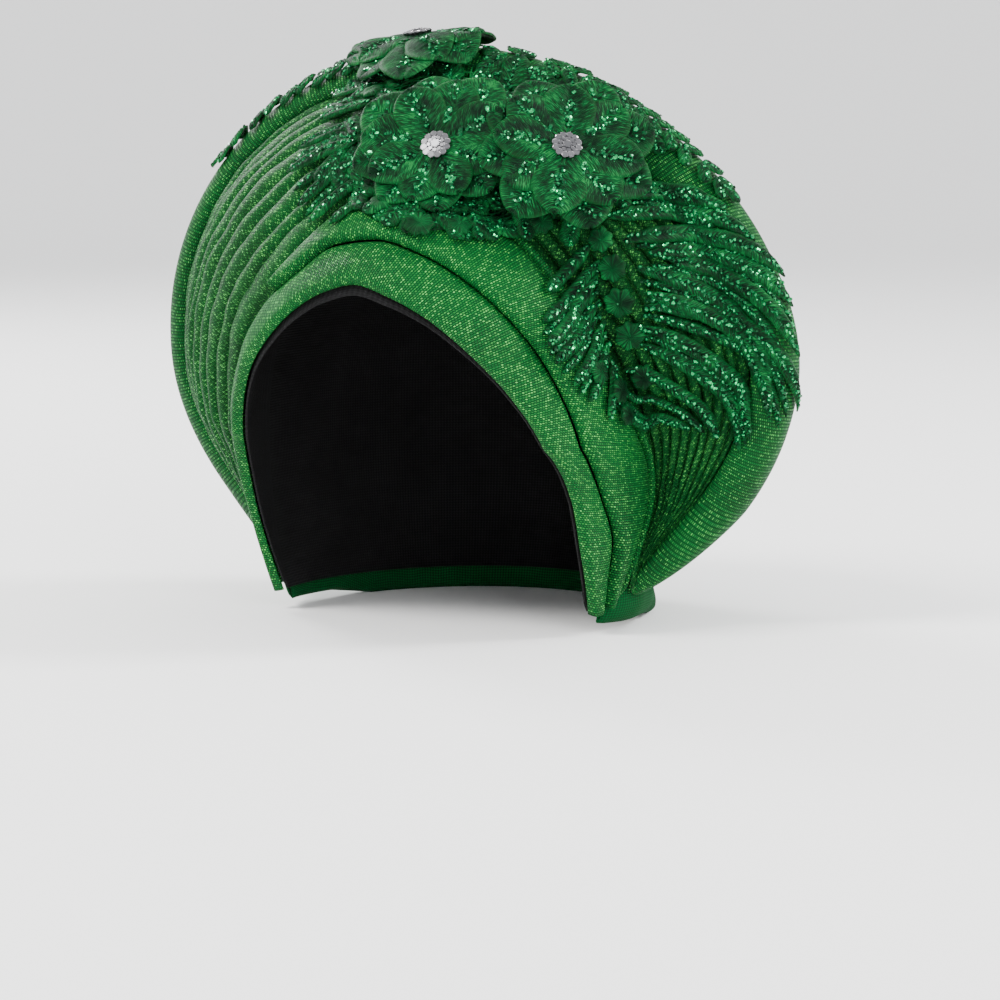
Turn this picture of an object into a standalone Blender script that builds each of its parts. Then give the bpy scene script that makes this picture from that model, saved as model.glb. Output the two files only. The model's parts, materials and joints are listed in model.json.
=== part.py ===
"""Tied gele head tie: crossed brow bands, a pleated fan with a rolled rim, and applied lace flowers.

Metres, +Z up. The wearer faces -Y and the wearer's left is +X. The origin is the middle of the head's
greatest girth. A place on the head is given by a turn in degrees from the middle of the brow, positive
towards the wearer's left, and a rise: the share of the crown's height above the girth, or of the nape's
drop below it. A place on the fan is given by a ring angle, 0 at the wearer's left, 90 at the top and 180
at the wearer's right, and a share across the pleats: 0 at the bands, 1 at the rim.
"""
import bisect
import math

import bmesh
import bpy
from mathutils import Matrix, Vector

# Head that the tie fits
HEAD_HALF_WIDTH = 0.0755
HEAD_HALF_DEPTH = 0.0955
HEAD_CROWN = 0.104
HEAD_DROP = 0.074
NAPE_TAPER = 0.13

# Clearance between pieces, and the cloth's walls
FIT_GAP = 0.0003
LAYER_GAP = 0.0008
LINING_WALL = 0.0012
BAND_TAIL_WALL = 0.0016
BROW_BAND_FULLNESS = 0.0050
CROSS_BAND_FULLNESS = 0.0052
BAND_START = -55.0
BAND_END = 235.0
CROSS_BAND_END = 140.0
TUCK_FOLD_WIDTH = 0.0030
TUCK_FOLD_FULLNESS = 0.0044
TUCK_FOLD_END = 62.0
TUCK_FADE = 13.0
NAPE_CAP_FULLNESS = 0.0075
LINING_SHOWS = 0.0022
LOWEST_HEM_RISE = -0.97

# Fan and rim
FAN_HALF_WIDTH = 0.139
FAN_HALF_HEIGHT = 0.118
FAN_CENTRE_HEIGHT = 0.035
FAN_START = -50.0
FAN_END = 230.0
RIM_SET_BACK = 0.025
RIM_ROLL = 0.0125
RIM_BACK_ANGLE = -35.0
RIM_WALL = 0.0024
FAN_TUCK_REACH = 0.0040
FAN_ROOT_LEAD = 9.0
LEAD_END = -10.0
PLEAT_COUNT = 8
PLEAT_HEIGHT = 0.0030
PLEAT_WALL = 0.0018
FULL_PLEAT_WIDTH = 0.046
FAN_BULGE = 0.0090
BULGE_SIDE_SHARE = 0.6
BACK_FULLNESS = 0.0140
GATHER_COUNT = 8
HEM_SWEEP = 75.0
HEM_RISE = -0.78
BACK_CREST_RISE = 0.10
GATHER_DEPTH = 0.0016

# Lace
LACE_WALL = 0.0010
LACE_LIFT = 0.0007
SEWN_LIFT = 0.0006
GROUND_STRAND = 0.0022
GROUND_LIFT = 0.0018
STRIDE = 0.004
SPINE_WIDTH = 0.0024
LEAF_FORM = ((0.34, 0.92), (0.70, 0.96))
FLOWER_WALL = 0.0013
PETAL_NOTCH = 0.48
PETAL_STOPS = (0.0, 0.18, 0.5, 0.82)
PETAL_ROUNDNESS = 0.5
PETAL_CURL = 0.0020
PETAL_PARTS = (0.55, 1.0)

# Lifts over the head of the layers' undersides
BAND_FLOOR = FIT_GAP + LINING_WALL + LAYER_GAP
CROSS_FLOOR = BAND_FLOOR + BAND_TAIL_WALL + LAYER_GAP
FAN_ROOT_LIFT = CROSS_FLOOR + PLEAT_WALL

# Points across the tuck fold (share of its width, lift as a share of its fullness) and down the nape
# roll (rise, share of the flat wall, lift as a share of its fullness)
TUCK_FORM = ((0.0, 0.0), (0.0, 0.85), (0.5, 1.0), (1.0, 0.7), (1.0, 0.0))
NAPE_FORM = ((-0.55, 0, 0), (-0.55, 1, 0), (-0.88, 1, 0), (-0.90, 1, 0.75), (-0.94, 1, 1.0),
             (-0.98, 1, 0.75), (-1.00, 0, 0.15), (-0.80, 0, 0))
NAPE_ROLL_TOP = -0.88
NAPE_START_TURN = 90.0
NAPE_END_RUN = 20.0
NAPE_END_SHARE = 0.45

# Stations along the fan and points across the pieces
FAN_STATIONS = 33
BAND_STATIONS = 36
TUCK_STATIONS = 20
NAPE_STATIONS = 17
CAP_LEVELS = (0.0, 0.16, 0.36, 0.58, 0.80)
CAP_TURNS = (0, 12, 24, 36, 48, 57, 64, 69, 73, 77, 81, 90, 105, 125, 152, 180)
ROLL_POINTS = 6
BACK_POINTS = 7

# Lines of the wrapping on the head, a row for each ring angle:
# ring angle, face edge turn and rise, seam turn and rise, crown edge turn and rise
WRAP_LINES = (
    (-55, 79, -0.90, 83, -0.88, 84, -0.86),
    (-40, 72, -0.56, 83, -0.56, 92, -0.56),
    (-25, 67, -0.26, 76.5, -0.28, 97, -0.30),
    (-10, 60, -0.03, 70, -0.04, 93, -0.07),
    (8, 50, 0.115, 62, 0.14, 82, 0.12),
    (28, 38, 0.23, 52, 0.28, 70, 0.30),
    (50, 25, 0.32, 38, 0.40, 57, 0.49),
    (70, 13, 0.37, 22, 0.48, 36, 0.635),
    (90, 0, 0.40, 4, 0.52, 8, 0.677),
    (108, -12, 0.375, -14, 0.50, -15, 0.63),
    (125, -23, 0.325, -26, 0.42, -27, 0.52),
    (142, -34, 0.25, -38, 0.355, -38.5, 0.37),
    (160, -45, 0.165, -50, 0.27, -50, 0.27),
    (180, -56, 0.03, -61, 0.13, -61, 0.13),
    (200, -65, -0.19, -70, -0.09, -70, -0.09),
    (218, -71, -0.48, -79, -0.42, -79, -0.42),
    (235, -79, -0.90, -84, -0.86, -84, -0.86),
)

# Rim by ring angle: set-back and roll radius as shares of RIM_SET_BACK and RIM_ROLL, the fan's bulge as
# a share of FAN_BULGE, the reach as a share of the fan's half width and half height, and the angle round
# the roll at which its front edge lies, 90 being straight to the front
RIM_FORM = (
    (-50, 0.75, 0.62, 0.10, 1.010, 93),
    (-36, 0.95, 0.92, 0.40, 1.000, 96),
    (-8, 1.00, 0.95, 0.70, 1.000, 95),
    (22, 0.75, 1.05, 1.00, 0.972, 88),
    (50, 0.55, 1.20, 1.00, 0.955, 82),
    (90, 0.45, 1.10, 1.00, 0.995, 76),
    (130, 0.52, 0.72, 1.00, 1.008, 74),
    (185, 0.52, 0.80, 0.70, 1.000, 76),
    (215, 0.75, 0.90, 0.40, 1.000, 82),
    (230, 0.80, 0.62, 0.10, 1.010, 90),
)

# Pierced lace ground by ring angle: lowest and highest share across the fan
GROUND_SPAN = (
    (46, 0.30, 0.90),
    (54, 0.00, 1.02),
    (62, -0.50, 1.06),
    (72, -0.80, 1.08),
    (84, -0.60, 1.10),
    (94, -0.45, 1.05),
    (104, 0.15, 0.80),
)
GROUND_COLUMNS = 10
GROUND_ROWS = 5

# Leaf sprays: for each, its leaf length and width, its leaf angle from the spine in degrees, the count
# of leaf pairs, and the spine's rows: ring angle, share across the fan, lift, leaf length share
SPRAYS = {
    "spray_left_outer": (0.0115, 0.0044, 50, 7, (
        (106, 1.28, 0.0034, 0.6), (114, 1.34, 0.0036, 1.0), (126, 1.36, 0.0022, 1.0),
        (141, 1.38, -0.0002, 0.4))),
    "spray_left_inner": (0.0160, 0.0044, 45, 6, (
        (101, 0.66, 0.0034, 0.7), (109, 0.58, 0.0022, 1.0), (118, 0.50, 0.0008, 0.9),
        (126, 0.44, 0.0000, 0.4))),
    "spray_right_upper": (0.0120, 0.0048, 50, 7, (
        (72, 1.40, 0.0034, 0.6), (60, 1.40, 0.0026, 1.0), (47, 1.40, 0.0010, 1.0), (35, 1.42, -0.0002, 0.4))),
    "spray_right_middle": (0.0150, 0.0040, 44, 6, (
        (44, 0.80, 0.0010, 0.7), (36, 0.86, 0.0008, 1.0), (25, 1.06, 0.0008, 1.0), (14, 1.32, 0.0008, 0.5))),
    "spray_right_main": (0.0300, 0.0036, 38, 8, (
        (41, 0.40, 0.0010, 0.4), (29, 0.42, 0.0008, 0.8), (11, 0.62, 0.0008, 1.0), (-8, 1.10, 0.0008, 0.5))),
    "spray_right_lower": (0.0130, 0.0036, 42, 7, (
        (42, -0.02, 0.0008, 0.4), (31, -0.26, 0.0008, 0.7), (18, -0.48, 0.0006, 1.0),
        (2, -0.64, -0.0003, 0.6))),
}

# Flowers: ring angle and share of the middle, lift, how far the petals drape on to the surface, and
# for each petal its direction in degrees and its length as a share of FLOWER_REACH
FLOWER_REACH = 0.034
FLOWERS = {
    "flower_left": (81.0, 0.24, 0.0037, 0.35, (
        (0, 0.98), (45, 0.90), (88, 0.98), (132, 0.90), (180, 0.80), (228, 0.80), (272, 0.84), (316, 0.90))),
    "flower_right": (56.4, 0.55, 0.0072, 0.35, (
        (5, 0.92), (52, 0.95), (98, 0.98), (145, 0.95), (192, 0.95), (238, 0.98), (285, 0.92), (325, 0.90))),
    "flower_top": (98.0, 1.44, 0.0034, 0.62, (
        (0, 0.95), (48, 0.80), (95, 0.75), (140, 0.85), (185, 0.95), (230, 0.95), (275, 0.85), (320, 0.85))),
}

# Rhinestone buttons
BUTTON_WIDTH = 0.0115
BUTTON_HEIGHT = 0.0022
BUTTON_LIFT = 0.0003
RING_STONE_COUNT = 12
RING_STONE_WIDTH = 0.0024
CENTRE_STONE_WIDTH = 0.0042
STONE_SIDES = 8
STONE_TABLE_SHARE = 0.58
STONE_HEIGHT_SHARE = 0.34
STONE_SINK = 0.0006
RING_STONE_SHARE = 0.92
SETTING_FLARE = 0.42


def read_table(table, place):
    """Values of a table at a place, on a smooth curve through its rows that never overshoots."""
    places = [row[0] for row in table]
    last = min(max(bisect.bisect_right(places, place), 1), len(table) - 1)
    first = last - 1
    span = places[last] - places[first]
    part = (place - places[first]) / span

    def slope(index, column):
        if index in (0, len(table) - 1):
            return 0.0 if index else (table[1][column] - table[0][column]) / (places[1] - places[0])
        before = (table[index][column] - table[index - 1][column]) / (places[index] - places[index - 1])
        after = (table[index + 1][column] - table[index][column]) / (places[index + 1] - places[index])
        return 0.0 if before * after <= 0 else 2 * before * after / (before + after)

    values = []
    for column in range(1, len(table[0])):
        start, end = table[first][column], table[last][column]
        lean_in, lean_out = slope(first, column) * span, slope(last, column) * span
        cube, square = part ** 3, part ** 2
        values.append(start * (2 * cube - 3 * square + 1) + end * (3 * square - 2 * cube)
                      + lean_in * (cube - 2 * square + part) + lean_out * (cube - square))
    return values


def head_point(turn, rise, lift):
    """Point at a lift over the head form."""
    around = math.radians(turn)
    if rise >= 0:
        tilt = math.radians(90 * rise)
        girth, height = math.cos(tilt), HEAD_CROWN * math.sin(tilt)
        slope = height / HEAD_CROWN ** 2
    else:
        girth, height = 1 - NAPE_TAPER * rise ** 2, HEAD_DROP * rise
        slope = 2 * NAPE_TAPER * rise * girth / HEAD_DROP
    surface = Vector((HEAD_HALF_WIDTH * girth * math.sin(around),
                      -HEAD_HALF_DEPTH * girth * math.cos(around), height))
    out = Vector((surface.x / HEAD_HALF_WIDTH ** 2, surface.y / HEAD_HALF_DEPTH ** 2, slope))
    return surface + out.normalized() * lift


def wrap_line(ring, line):
    """Turn and rise of the face edge (0), the seam (1) or the crown edge (2) at a ring angle."""
    values = read_table(WRAP_LINES, ring)
    return values[2 * line], values[2 * line + 1]


def outward(ring):
    """Direction from the fan's middle to its rim, seen from the front."""
    angle = math.radians(ring)
    return Vector((math.cos(angle), 0, math.sin(angle)))


def rim_roll(ring):
    """Centre and radius of the rolled rim at a ring angle."""
    set_back, roll_share, _, reach, _ = read_table(RIM_FORM, ring)
    radius = RIM_ROLL * roll_share
    angle = math.radians(ring)
    outer = Vector((FAN_HALF_WIDTH * reach * math.cos(angle), RIM_SET_BACK * set_back,
                    FAN_CENTRE_HEIGHT + FAN_HALF_HEIGHT * reach * math.sin(angle)))
    return outer - outward(ring) * radius, radius


def rim_point(ring, angle, inset=0.0):
    """Point round the rolled rim: angle 0 is outermost, 90 is the front and -90 the back."""
    centre, radius = rim_roll(ring)
    bend = math.radians(angle)
    return centre + (outward(ring) * math.cos(bend) + Vector((0, -math.sin(bend), 0))) * (radius - inset)


def rim_edge_angle(ring):
    """Angle round the rim's roll at which its front edge lies."""
    return read_table(RIM_FORM, ring)[4]


def crown_edge(ring):
    """Point of the bands' crown edge on the head, direction out of the head and direction to the back."""
    ground = head_point(*wrap_line(ring, 2), 0.0)
    out = (head_point(*wrap_line(ring, 2), 1.0) - ground).normalized()
    run = head_point(*wrap_line(ring + 1, 2), 0.0) - head_point(*wrap_line(ring - 1, 2), 0.0)
    aside = out.cross(run).normalized()
    return ground, out, aside if aside.y > 0 else -aside


def fan_chord(ring):
    """Root of the fan at the bands and its straight way to the end tucked under the rim."""
    lead = FAN_ROOT_LEAD * min(max((LEAD_END - ring) / (LEAD_END - FAN_START), 0.0), 1.0)
    ground, out, aside = crown_edge(ring + lead)
    edge = ground + out * FAN_ROOT_LIFT
    tuck_inset = RIM_WALL + LAYER_GAP
    tuck_turn = math.degrees(FAN_TUCK_REACH / (rim_roll(ring)[1] - tuck_inset))
    end = rim_point(ring, rim_edge_angle(ring) + tuck_turn, tuck_inset)
    stand = max((end - edge).normalized().dot(out), 0.0)
    lean = 4 * fan_bulge(ring) / (end - edge).length
    fold = TUCK_FOLD_WIDTH + 2 * LAYER_GAP + lean * TUCK_FOLD_FULLNESS
    beside_fold = min(max((TUCK_FOLD_END + TUCK_FADE - ring) / TUCK_FADE, 0.0), 1.0)
    root = edge + aside * (LAYER_GAP + fold * beside_fold + PLEAT_HEIGHT * stand)
    return root, end - root


def fan_bulge(ring):
    """How far the fan stands off its straight chord at its middle."""
    return read_table(RIM_FORM, ring)[2] * FAN_BULGE


def fan_base(ring, share):
    """Point on the smooth sheet that carries the pleats."""
    root, chord = fan_chord(ring)
    front = Vector((0, -1, 0)) - chord * (chord.dot(Vector((0, -1, 0))) / chord.length_squared)
    side = (outward(ring) - chord * (chord.dot(outward(ring)) / chord.length_squared)) * BULGE_SIDE_SHARE
    return root + chord * share + (front + side).normalized() * (fan_bulge(ring) * 4 * share * (1 - share))


def fan_point(ring, share, height):
    """Point at a height over the sheet that carries the pleats."""
    step_ring, step_share = 0.5, 0.02
    low, high = max(share - step_share, 0.0), min(share + step_share, 1.0)
    along = fan_base(ring + step_ring, share) - fan_base(ring - step_ring, share)
    across = fan_base(ring, high) - fan_base(ring, low)
    out = across.cross(along).normalized()
    return fan_base(ring, share) + out * height


def pleat_height(ring):
    """Height of the pleats, which flatten where the fan is narrow."""
    return PLEAT_HEIGHT * min(fan_chord(ring)[1].length / FULL_PLEAT_WIDTH, 1.0)


# Stops across the surface that the lace lies on: -1 is the seam, 0 the crown edge, 1 the rim's front
# edge, 1.5 the rim's outermost line
DRESS_STOPS = (-1.0, -0.5, 0.0, 0.15, 0.35, 0.55, 0.75, 0.93, 1.1, 1.3, 1.5, 1.75, 2.0)
DRESS_RING_STEP = 5.0
DRESS_NET = {}


def dress_stop(ring, stop):
    """Point at a stop on the surface that the lace lies on."""
    if stop <= 0:
        place = between(wrap_line(ring, 2), wrap_line(ring, 1), -stop)
        return head_point(*place, CROSS_FLOOR + CROSS_BAND_FULLNESS)
    if stop < 1:
        return fan_point(ring, stop, pleat_height(ring))
    edge = rim_edge_angle(ring)
    return rim_point(ring, edge - 2 * edge * (stop - 1))


def dress_net_point(row, column):
    """Point of the lace surface's net, worked out once."""
    if (row, column) not in DRESS_NET:
        ring = min(max(row * DRESS_RING_STEP, FAN_START), FAN_END)
        DRESS_NET[row, column] = dress_stop(ring, DRESS_STOPS[column])
    return DRESS_NET[row, column]


def glide(before, start, end, after, part):
    """Smooth curve between two of four points in a row."""
    square, cube = part * part, part ** 3
    return (before * (-cube + 2 * square - part) + start * (3 * cube - 5 * square + 2)
            + end * (-3 * cube + 4 * square + part) + after * (cube - square)) * 0.5


def dress_surface(ring, share):
    """Point on the smooth surface over the bands, the pleats and the rim."""
    row = math.floor(ring / DRESS_RING_STEP)
    row_part = ring / DRESS_RING_STEP - row
    column = min(max(bisect.bisect_right(DRESS_STOPS, share) - 1, 0), len(DRESS_STOPS) - 2)
    span = DRESS_STOPS[column + 1] - DRESS_STOPS[column]
    column_part = (share - DRESS_STOPS[column]) / span
    lines = []
    for offset in (-1, 0, 1, 2):
        columns = [min(max(column + step, 0), len(DRESS_STOPS) - 1) for step in (-1, 0, 1, 2)]
        points = [dress_net_point(row + offset, place) for place in columns]
        lines.append(glide(*points, column_part))
    return glide(*lines, row_part)


def dress_frame(ring, share):
    """Point, direction along the ring, direction across it and direction out of the lace surface."""
    along = dress_surface(ring + 1, share) - dress_surface(ring - 1, share)
    across = dress_surface(ring, share + 0.03) - dress_surface(ring, share - 0.03)
    out = across.cross(along).normalized()
    along = along.normalized()
    return dress_surface(ring, share), along, along.cross(out), out


def walk(ring, share, along_way, rim_way):
    """Place reached by walking on the lace surface along the ring and towards the rim."""
    strides = max(1, math.ceil(math.hypot(along_way, rim_way) / STRIDE))
    for _ in range(strides):
        ring_pace = (dress_surface(ring + 1, share) - dress_surface(ring - 1, share)) / 2
        share_pace = (dress_surface(ring, share + 0.03) - dress_surface(ring, share - 0.03)) / 0.06
        along = ring_pace.normalized()
        drift = share_pace.dot(along)
        rise = (share_pace - along * drift).length
        share_change = rim_way / strides / rise
        ring += (along_way / strides - share_change * drift) / ring_pace.length
        share = min(max(share + share_change, DRESS_STOPS[0]), DRESS_STOPS[-1])
    return ring, share


def laid_point(ring, share, along_way, rim_way, lift):
    """Point laid on the lace surface at a distance from a place, along the ring and towards the rim."""
    point, _, _, out = dress_frame(*walk(ring, share, along_way, rim_way))
    return point + out * lift


def new_piece(name, verts, faces, material):
    """A mesh object in the head tie's collection."""
    mesh = bpy.data.meshes.new(name)
    mesh.from_pydata([tuple(point) for point in verts], [], faces)
    mesh.materials.append(material)
    piece = bpy.data.objects.new(name, mesh)
    HEAD_TIE.objects.link(piece)
    mesh.shade_smooth()
    mesh.set_sharp_from_angle(angle=math.radians(35))
    return piece


def loft(name, sections, material, joined=False):
    """Closed solid through sections of equal point count, capped at both ends unless joined in a ring."""
    count = len(sections[0])
    verts = [point for section in sections for point in section]
    faces = []
    rows = len(sections) if joined else len(sections) - 1
    for row in range(rows):
        start, after = row * count, ((row + 1) % len(sections)) * count
        for index in range(count):
            onward = (index + 1) % count
            faces.append((start + index, start + onward, after + onward, after + index))
    if not joined:
        faces.append(tuple(reversed(range(count))))
        faces.append(tuple(range(len(verts) - count, len(verts))))
    piece = new_piece(name, verts, faces, material)
    face_outwards(piece)
    return piece


def face_outwards(piece):
    """Point the faces of a closed mesh out."""
    form = bmesh.new()
    form.from_mesh(piece.data)
    bmesh.ops.recalc_face_normals(form, faces=form.faces)
    if form.calc_volume(signed=True) < 0:
        bmesh.ops.reverse_faces(form, faces=form.faces)
    form.to_mesh(piece.data)
    form.free()


def material(name, colour, roughness, metallic=0.0, sheen=0.0):
    """Principled material with one colour."""
    made = bpy.data.materials.new(name)
    made.use_nodes = True
    shader = made.node_tree.nodes["Principled BSDF"]
    shader.inputs["Base Color"].default_value = (*colour, 1.0)
    shader.inputs["Roughness"].default_value = roughness
    shader.inputs["Metallic"].default_value = metallic
    shader.inputs["Sheen Weight"].default_value = sheen
    return made


def spread(start, end, count):
    """Evenly spaced places from start to end."""
    return [start + (end - start) * index / (count - 1) for index in range(count)]


def between(first, last, part):
    """Turn and rise at a part of the way between two places on the head."""
    return (first[0] + (last[0] - first[0]) * part, first[1] + (last[1] - first[1]) * part)


# Section of a band: share from its lower to its upper edge, and lift as a share of its fullness
BAND_TOP = ((0.00, 0.30), (0.02, 0.72), (0.10, 0.97), (0.35, 1.00), (0.68, 0.92), (0.90, 0.60), (1.00, 0.20))
BAND_UNDERSIDE = (1.0, 0.66, 0.33, 0.0)


def crowned_band(name, rings, first_line, floor, fullness):
    """Band with a crowned top from one line of the wrapping to the next."""
    sections = []
    for ring in rings:
        low, high = wrap_line(ring, first_line), wrap_line(ring, first_line + 1)
        section = [head_point(*between(low, high, part), floor + fullness * lift) for part, lift in BAND_TOP]
        section += [head_point(*between(low, high, part), floor) for part in BAND_UNDERSIDE]
        sections.append(section)
    return loft(name, sections, GREEN_CLOTH)


def inner_cap():
    """Thin lining cap over the crown, just showing under the brow band."""
    turns = list(CAP_TURNS) + [-turn for turn in reversed(CAP_TURNS[1:-1])]
    sides = len(turns)
    verts = []
    for lift in (FIT_GAP + LINING_WALL, FIT_GAP):
        for level in CAP_LEVELS:
            for turn in turns:
                hem = max(face_rise(turn) - LINING_SHOWS / HEAD_CROWN, LOWEST_HEM_RISE)
                verts.append(head_point(turn, hem + (1 - hem) * level, lift))
        verts.append(head_point(0, 1.0, lift))
    shell = len(CAP_LEVELS) * sides + 1
    faces = []
    for level in range(len(CAP_LEVELS) - 1):
        for side in range(sides):
            onward = (side + 1) % sides
            start, after = level * sides, (level + 1) * sides
            quad = (start + side, start + onward, after + onward, after + side)
            faces.append(quad)
            faces.append(tuple(shell + index for index in reversed(quad)))
    top = (len(CAP_LEVELS) - 1) * sides
    for side in range(sides):
        onward = (side + 1) % sides
        faces.append((top + side, top + onward, shell - 1))
        faces.append((shell + top + onward, shell + top + side, 2 * shell - 1))
        faces.append((side, shell + side, shell + onward, onward))
    piece = new_piece("inner_cap", verts, faces, BLACK_KNIT)
    face_outwards(piece)
    return piece


def face_rise(turn):
    """Rise of the bands' face edge at a turn, level round the nape behind the ears."""
    low, high = 90.0, BAND_START if turn > 0 else BAND_END
    if abs(turn) >= abs(wrap_line(high, 0)[0]):
        return wrap_line(high, 0)[1]
    for _ in range(30):
        middle = (low + high) / 2
        if abs(wrap_line(middle, 0)[0]) < abs(turn):
            low = middle
        else:
            high = middle
    return wrap_line(middle, 0)[1]


def brow_band():
    """Lower band, from ear to ear with its peak over the brow."""
    rings = spread(BAND_START, BAND_END, BAND_STATIONS)
    return crowned_band("brow_band", rings, 0, BAND_FLOOR, BROW_BAND_FULLNESS)


def cross_band():
    """Upper band, lapped over the lower one and running out on the wearer's right."""
    rings = spread(BAND_START + 1, CROSS_BAND_END, BAND_STATIONS - 8)
    return crowned_band("cross_band", rings, 1, CROSS_FLOOR, CROSS_BAND_FULLNESS)


# Points across one pleat: share of its width, height as a share of the pleat's height
PLEAT_FORM = ((0.0, 0.0), (0.28, 0.92), (0.68, 0.92))


def pleated_fan():
    """Sheet of rounded pleats that run round the head between the bands and the rim."""
    sections = []
    for ring in spread(FAN_START, FAN_END, FAN_STATIONS):
        section = []
        for pleat in range(PLEAT_COUNT):
            for part, height in PLEAT_FORM:
                share = (pleat + part) / PLEAT_COUNT
                section.append(fan_point(ring, share, pleat_height(ring) * height))
        section.append(fan_point(ring, 1.0, 0.0))
        section += [fan_point(ring, share, -PLEAT_WALL) for share in (1.0, 0.8, 0.6, 0.4, 0.2, 0.0)]
        sections.append(section)
    return loft("pleated_fan", sections, GREEN_CLOTH)


def back_point(ring, share):
    """Point on the outer cloth behind the rim: share 0 at the rim, 1 at the hem on the nape."""
    start = rim_point(ring, RIM_BACK_ANGLE)
    lean = math.radians(RIM_BACK_ANGLE)
    leave = outward(ring) * math.sin(lean) + Vector((0, math.cos(lean), 0))
    hem_turn = 180 - (90 - ring) * HEM_SWEEP / (90 - FAN_START)
    hem = head_point(hem_turn, HEM_RISE, CROSS_FLOOR + RIM_WALL)
    above = head_point(hem_turn, BACK_CREST_RISE, CROSS_FLOOR + RIM_WALL + BACK_FULLNESS)
    reach = (hem - start).length / 2
    first = start + leave * reach
    rest = 1 - share
    point = (start * rest ** 3 + first * (3 * rest ** 2 * share)
             + above * (3 * rest * share ** 2) + hem * share ** 3)
    fold = 1 + math.cos(math.radians((ring - 90) * 360 * GATHER_COUNT / (FAN_END - FAN_START)))
    out = Vector((point.x, point.y, 0)).normalized()
    return point + out * (GATHER_DEPTH * fold * 2 * share ** 2 * (1 - share ** 6))


def rim_wrap():
    """Rolled rim and the outer cloth that runs from it down the back to the nape."""
    rows = []
    for ring in spread(FAN_START, FAN_END, FAN_STATIONS):
        row = [rim_point(ring, angle) for angle in spread(rim_edge_angle(ring), RIM_BACK_ANGLE, ROLL_POINTS)]
        row += [back_point(ring, share) for share in spread(0.0, 1.0, BACK_POINTS)[1:]]
        rows.append(row)
    count = len(rows[0])
    verts = [point for row in rows for point in row]
    faces = []
    for row in range(len(rows) - 1):
        for index in range(count - 1):
            start, after = row * count + index, (row + 1) * count + index
            faces.append((start, start + 1, after + 1, after))
    piece = new_piece("rim_wrap", verts, faces, GREEN_CLOTH)
    wall = piece.modifiers.new("Cloth wall", "SOLIDIFY")
    wall.thickness = RIM_WALL
    wall.offset = -1
    return piece


def tuck_fold():
    """Narrow fold that shows outside the upper band on the wearer's left."""
    sections = []
    for ring in spread(BAND_START + 2, TUCK_FOLD_END - 2, TUCK_STATIONS):
        ground, out, aside = crown_edge(ring)
        sections.append([ground + out * (CROSS_FLOOR + TUCK_FOLD_FULLNESS * lift)
                         + aside * (LAYER_GAP + TUCK_FOLD_WIDTH * part) for part, lift in TUCK_FORM])
    return loft("tuck_fold", sections, GREEN_CLOTH)


def nape_cap():
    """Soft knit roll of the cap below the hem, from ear to ear round the nape."""
    sections = []
    for turn in spread(NAPE_START_TURN, 360 - NAPE_START_TURN, NAPE_STATIONS):
        inwards = min(turn - NAPE_START_TURN, 360 - NAPE_START_TURN - turn) / NAPE_END_RUN
        swell = NAPE_END_SHARE + (1 - NAPE_END_SHARE) * min(inwards, 1.0)
        section = []
        for rise, flat, lift in NAPE_FORM:
            if rise < NAPE_ROLL_TOP:
                rise = NAPE_ROLL_TOP + (rise - NAPE_ROLL_TOP) * swell
            section.append(head_point(turn, rise, BAND_FLOOR + BAND_TAIL_WALL * flat
                                      + NAPE_CAP_FULLNESS * swell * lift))
        sections.append(section)
    return loft("nape_cap", sections, GREEN_KNIT)


def lace_ground():
    """Pierced lace net that the flowers are sewn to."""
    first, last = GROUND_SPAN[0][0], GROUND_SPAN[-1][0]
    net = bmesh.new()
    grid = []
    for ring in spread(first, last, GROUND_COLUMNS + 1):
        low, high = read_table(GROUND_SPAN, ring)
        column = []
        for share in spread(low, high, GROUND_ROWS + 1):
            point, _, _, out = dress_frame(ring, share)
            lift = SEWN_LIFT if share in (low, high) else LACE_LIFT + GROUND_LIFT
            column.append(net.verts.new(point + out * (lift + LACE_WALL)))
        grid.append(column)
    for left, right in zip(grid, grid[1:]):
        for row in range(GROUND_ROWS):
            net.faces.new((left[row], right[row], right[row + 1], left[row + 1]))
    net.normal_update()
    cells = list(net.faces)
    bmesh.ops.inset_individual(net, faces=cells, thickness=GROUND_STRAND / 2, use_even_offset=True)
    bmesh.ops.delete(net, geom=cells, context="FACES_ONLY")
    return walled("lace_ground", net, LACE_WALL)


def walled(name, sheet, wall_thickness):
    """Piece from an open sheet, thickened inwards."""
    mesh = bpy.data.meshes.new(name)
    bmesh.ops.recalc_face_normals(sheet, faces=sheet.faces)
    outward_count = sum(face.normal.dot(face.calc_center_median()) > 0 for face in sheet.faces)
    if outward_count * 2 < len(sheet.faces):
        bmesh.ops.reverse_faces(sheet, faces=sheet.faces)
    sheet.to_mesh(mesh)
    sheet.free()
    mesh.materials.append(LACE_GREEN)
    piece = bpy.data.objects.new(name, mesh)
    HEAD_TIE.objects.link(piece)
    wall = piece.modifiers.new("Lace wall", "SOLIDIFY")
    wall.thickness = wall_thickness
    wall.offset = -1
    return piece


def spine_place(table, part):
    """Ring angle, share, lift, leaf length share and heading at a part of a frond's spine."""
    ring, share, lift, size = read_table(table, part)
    ahead = dress_surface(*read_table(table, min(part + 0.05, 1.0))[:2])
    behind = dress_surface(*read_table(table, max(part - 0.05, 0.0))[:2])
    _, along, across, _ = dress_frame(ring, share)
    way = ahead - behind
    return ring, share, lift + LACE_LIFT, size, math.atan2(way.dot(across), way.dot(along))


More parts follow.
